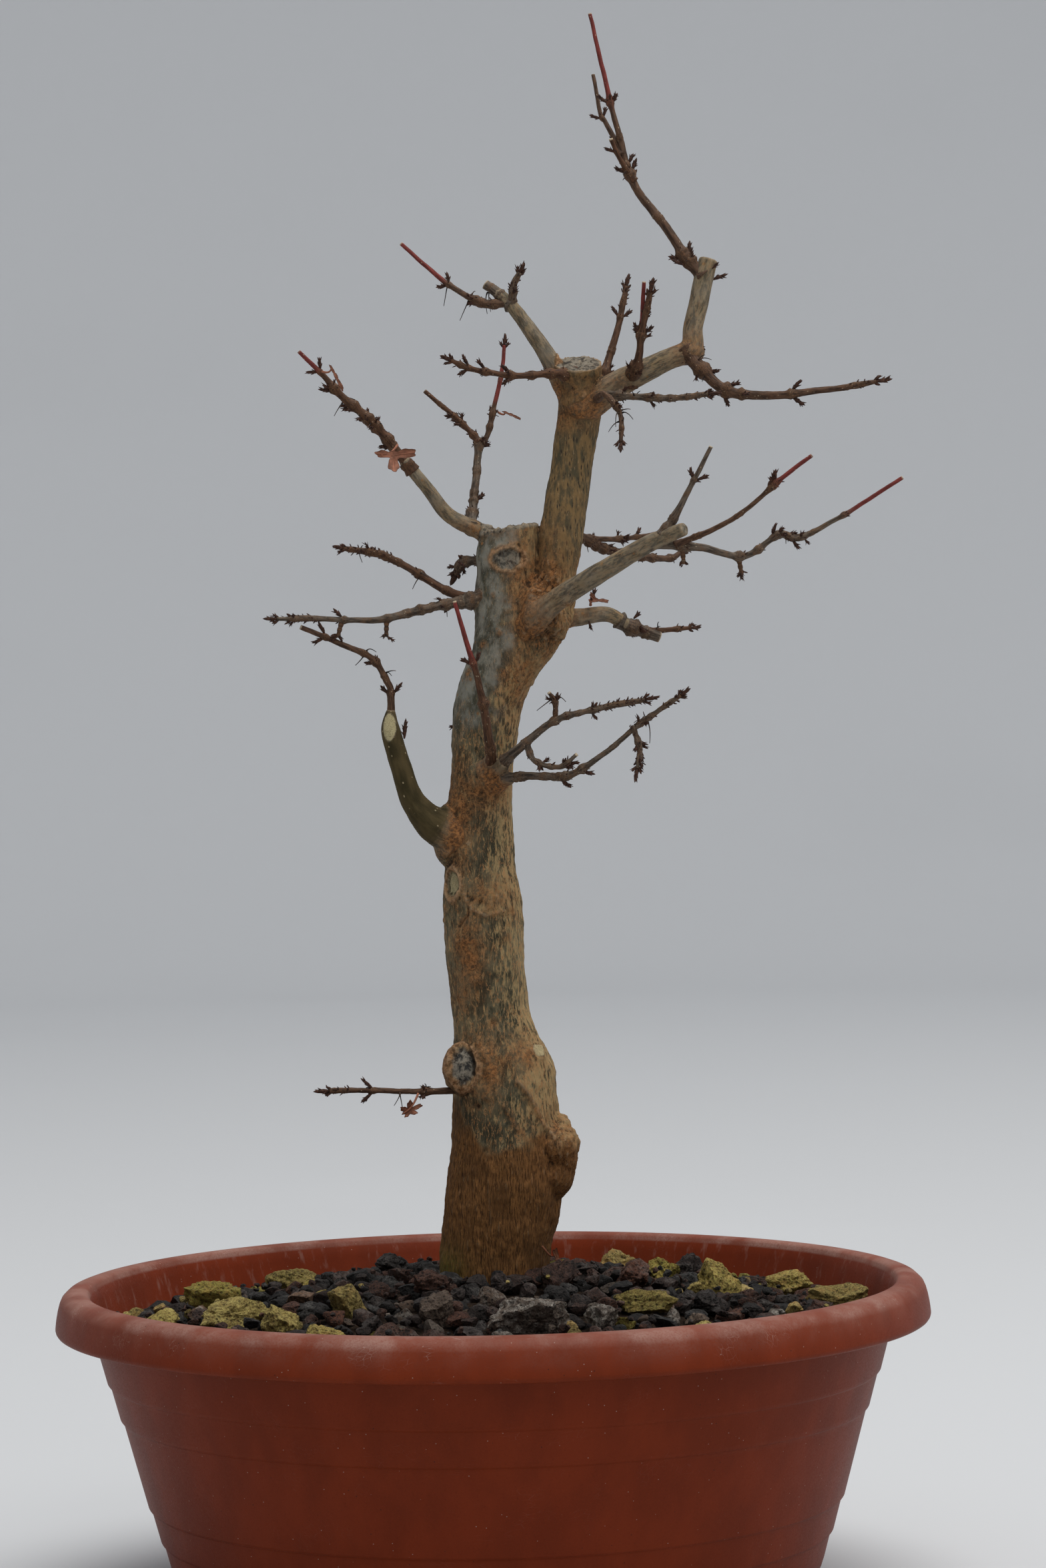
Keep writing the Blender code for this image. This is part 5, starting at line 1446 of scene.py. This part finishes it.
# ---- the leaves --------------------------------------------------------------------------------------
# Middle (x, y, height), blade (length, width), turns in degrees, curl, lobes as (degrees, length), and where
# the stalk is held.  Heights are above the lip, or above the grit where nothing holds the leaf.
SPIKY = ((0, 1.0), (125, 0.75), (-125, 0.75))
CURLED = ((0, 1.0), (180, 0.8))
LEAVES = {
    "leaf_high_left": ((-28, -13, 283), (15, 13), (80, 0, 15), 0.24, ((12, 1.0), (172, 0.80), (-97, 1.0)),
                       (-27, -5.6, 287)),
    "leaf_high_tip": ((-47, -17, 310), (10, 5), (70, 60, 0), 0.55, CURLED, (-52, -11.6, 312)),
    "leaf_low_left": ((-27, -16.5, 60), (9, 6), (75, -25, 10), 0.85,
                      ((0, 1.0), (70, 0.9), (-70, 0.85), (130, 0.8), (-130, 0.75), (180, 0.6)), (-24, -14.6, 65.6)),
    "leaf_inner": ((12, 24, 299), (7, 4), (60, 20, 0), 0.5, CURLED, (7.6, 26.6, 300)),
    "leaf_right_low": ((40, -2.5, 233), (8, 6), (60, 0, 0), 0.6, SPIKY, (38, 1.6, 231.2)),
    "leaf_on_grit": ((FOOT_RADIUS + 4.5, -11.5, 4.2), (12, 9), (50, 25, 35), 0.45, SPIKY, None),
}


class MAPLE_OT_leaves(bpy.types.Operator):
    """Lay the withered leaves in their places, curled, with veins and stalks"""

    bl_idname = "maple.leaves"
    bl_label = "Leaves"

    def execute(self, context):
        settings = context.scene.maple_leaves
        pale = leaf_finish("pale_dry_leaf", settings.pale, 0.55)
        dark = leaf_finish("dark_dry_leaf", settings.dark, 0.45)
        for seed, (name, facts) in enumerate(LEAVES.items()):
            lot = self.blade(facts, seed, settings.thickness / MM)
            piece = name.replace("leaf", "dry_leaf", 1)
            show(piece, lot.mesh(piece), dark if facts[5] is None else pale, [name])
        return {"FINISHED"}

    @staticmethod
    def blade(facts, seed, thick):
        (mx, my, mh), (length, width), turns, curl, lobes, hold = facts
        rings, spokes = 12, 90
        angle, cos, sin = circle(spokes)
        reach, veins = 0.26, 0
        for degrees, long in lobes:
            off = np.abs((angle - math.radians(degrees) + math.pi) % math.tau - math.pi)
            reach = np.maximum(reach, long * np.exp(-(off / 0.58) ** 2))
            veins = np.maximum(veins, np.exp(-(off / 0.06) ** 2))
        reach = np.minimum(reach * (1 + 0.07 * np.cos(19 * angle + seed)), 1)
        share = np.linspace(0, 1, rings + 1)[1:]
        x = length * (0.45 + 0.55 * share[:, None] * reach * cos)
        y = width * 0.5 * share[:, None] * reach * sin
        z = curl * (width * (2 * y / width) ** 2 - 0.35 * length * (x / length) ** 2)
        crumple = np.stack([x.ravel(), y.ravel(), z.ravel()], 1)
        z = z + 0.45 * (rough(crumple, 0.33, seed + 5, 3)).reshape(x.shape)
        top = np.stack([x, y, z], 2).reshape(-1, 3)
        sheet = np.concatenate([top, [(length * 0.45, 0, float(z[0].mean()))]])
        slope_x = curl * -0.7 * sheet[:, 0] / length
        slope_y = curl * 8 * sheet[:, 1] / width
        normal = unit(np.stack([-slope_x, -slope_y, np.ones(len(sheet))], 1))
        marks = np.zeros((len(sheet), 3))
        marks[:-1, 0] = np.tile(veins, rings)
        marks[:-1, 1] = np.repeat(share, spokes)
        tips = ring_faces(rings, spokes)
        inner = tips[0][:spokes]
        count = len(sheet)
        inner = np.where(inner == rings * spokes, count - 1, inner)
        four = tips[1]
        edge = np.arange(spokes) + (rings - 1) * spokes
        after = np.roll(edge, -1)
        rim = np.stack([edge, edge + count, after + count, after], 1)
        three = np.concatenate([inner[:, ::-1], inner + count])
        four = np.concatenate([four[:, ::-1], four + count, rim[:, ::-1]])
        both = np.concatenate([sheet + normal * thick / 2, sheet - normal * thick / 2])
        turn = Matrix.Rotation(math.radians(turns[2]), 3, "Z") @ Matrix.Rotation(math.radians(turns[1]), 3, "Y")
        turn = np.array(turn @ Matrix.Rotation(math.radians(turns[0]), 3, "X"))
        ground = LIP_TOP if hold else float(bed_height(math.hypot(mx, my)))
        middle = np.array((mx, my, mh + ground))
        both = (both - (length * 0.45, 0, 0)) @ turn.T + middle
        lot = Lot("leaf")
        lot.add(both, np.concatenate([marks, marks]), three=three, four=four)
        start = (np.array((length * 0.15, 0, 0)) - (length * 0.45, 0, 0)) @ turn.T + middle
        end = np.array((hold[0], hold[1], hold[2] + LIP_TOP)) if hold else start + (turn @ (-5, 1.5, 1.0))
        t = np.linspace(0, 1, 14)[:, None]
        sag = np.array((0.5, -0.6, -0.8)) * np.sin(t * math.pi)
        lot.tube(start + (end - start) * t + sag, np.linspace(0.26, 0.42, 14), 7, (0.6, 0, 0))
        return lot


# ---- the stage ---------------------------------------------------------------------------------------
SKY_COLOUR = (0.93, 0.96, 1.0, 1.0)
# Lamps: name, place and target in metres, size, share of the key's power, colour
LAMPS = (
    ("above", (0.7, -0.3, 3.2), (0.25, -0.2, 0.0), 3.2, 1.0, (1.0, 0.99, 0.97)),
    ("front", (1.6, -2.6, 2.4), (0.0, 0.0, 0.25), 1.4, 0.13, (1.0, 0.975, 0.94)),
)
# The camera: place in metres, turns in degrees, lens in millimetres
CAMERA_PLACE = (0.01373, -1.4642, 0.29286)
CAMERA_TILT, CAMERA_ROLL = 89.5, -1.113
CAMERA_LENS = 97.78


class MAPLE_OT_stage(bpy.types.Operator):
    """Set the floor, the soft light and the camera"""

    bl_idname = "maple.stage"
    bl_label = "Stage"

    def execute(self, context):
        settings = context.scene.maple_stage
        self.sweep(settings.floor)
        world = bpy.data.worlds.new("soft_sky")
        context.scene.world = world
        world.use_nodes = True
        sky = world.node_tree.nodes["Background"]
        sky.inputs["Color"].default_value = SKY_COLOUR
        sky.inputs["Strength"].default_value = settings.sky
        for name, place, target, size, share, colour in LAMPS:
            self.lamp(name, place, target, size, settings.key * share, colour)
        self.camera(context)
        context.scene.view_settings.view_transform = "Standard"
        return {"FINISHED"}

    @staticmethod
    def sweep(colour):
        """A round floor that curves up into a wall on every side."""
        flat, bend, top = 3.6, 1.4, 2.6
        profile = [(0.02, 0), (0.3, 0), (1, 0), (2, 0), (3, 0)]
        profile += [(flat + bend * math.sin(a), bend - bend * math.cos(a)) for a in np.linspace(0, math.pi / 2, 20)]
        profile.append((flat + bend, top))
        sides = 128
        rows = np.array(profile)
        points = revolved(rows[:, 0], rows[:, 1], sides).reshape(-1, 3)
        three, four = ring_faces(len(rows), sides)
        lot = Lot()
        lot.add(np.concatenate([points, [(0, 0, 0)]]) / MM, (), three=three[:sides, ::-1], four=four[:, ::-1])
        floor = bpy.data.objects.new("floor", lot.mesh("floor"))
        bpy.context.scene.collection.objects.link(floor)
        floor.data.materials.append(stage_finish(colour))

    @staticmethod
    def lamp(name, place, target, size, power, colour):
        lamp = bpy.data.lights.new(name, "AREA")
        lamp.shape = "DISK"
        lamp.size = size
        lamp.energy = power
        lamp.color = colour
        holder = bpy.data.objects.new(name, lamp)
        holder.location = place
        holder.rotation_euler = (Vector(target) - Vector(place)).to_track_quat("-Z", "Y").to_euler()
        bpy.context.scene.collection.objects.link(holder)

    @staticmethod
    def camera(context):
        lens = bpy.data.cameras.new("camera")
        lens.sensor_fit = "VERTICAL"
        lens.sensor_height = 36.0
        lens.lens = CAMERA_LENS
        lens.clip_start, lens.clip_end = 0.05, 20.0
        holder = bpy.data.objects.new("camera", lens)
        tip = Matrix.Rotation(math.radians(CAMERA_TILT), 4, "X") @ Matrix.Rotation(math.radians(CAMERA_ROLL), 4, "Z")
        holder.matrix_world = Matrix.Translation(CAMERA_PLACE) @ tip
        context.scene.collection.objects.link(holder)
        context.scene.camera = holder


class MAPLE_PT_panel(bpy.types.Panel):
    """Lists the pieces of the potted maple"""

    bl_idname = "MAPLE_PT_panel"
    bl_label = "Potted Maple"
    bl_space_type = "VIEW_3D"
    bl_region_type = "UI"
    bl_category = "Potted Maple"

    def draw(self, context):
        for group, (_, *operators) in GROUPS.items():
            box = self.layout.box()
            settings = getattr(context.scene, group)
            for name in settings.__annotations__:
                box.prop(settings, name)
            for operator in operators:
                box.operator(operator.bl_idname)


# Each group's settings, and the operators that use them
GROUPS = {
    "maple_stage": (StageSettings, MAPLE_OT_stage),
    "maple_bowl": (BowlSettings, MAPLE_OT_bowl),
    "maple_grit": (GritSettings, MAPLE_OT_grit, MAPLE_OT_stones),
    "maple_tree": (TreeSettings, MAPLE_OT_trunk, MAPLE_OT_twigs),
    "maple_leaves": (LeafSettings, MAPLE_OT_leaves),
}


def register():
    for name, classes in GROUPS.items():
        for kind in classes:
            bpy.utils.register_class(kind)
        setattr(bpy.types.Scene, name, PointerProperty(type=classes[0]))
    bpy.utils.register_class(MAPLE_PT_panel)


def unregister():
    bpy.utils.unregister_class(MAPLE_PT_panel)
    for name, classes in GROUPS.items():
        delattr(bpy.types.Scene, name)
        for kind in reversed(classes):
            bpy.utils.unregister_class(kind)


def main():
    register()
    bpy.ops.maple.stage()
    bpy.ops.maple.bowl()
    bpy.ops.maple.grit()
    bpy.ops.maple.stones()
    bpy.ops.maple.trunk()
    bpy.ops.maple.twigs()
    bpy.ops.maple.leaves()


if __name__ == "__main__":
    main()
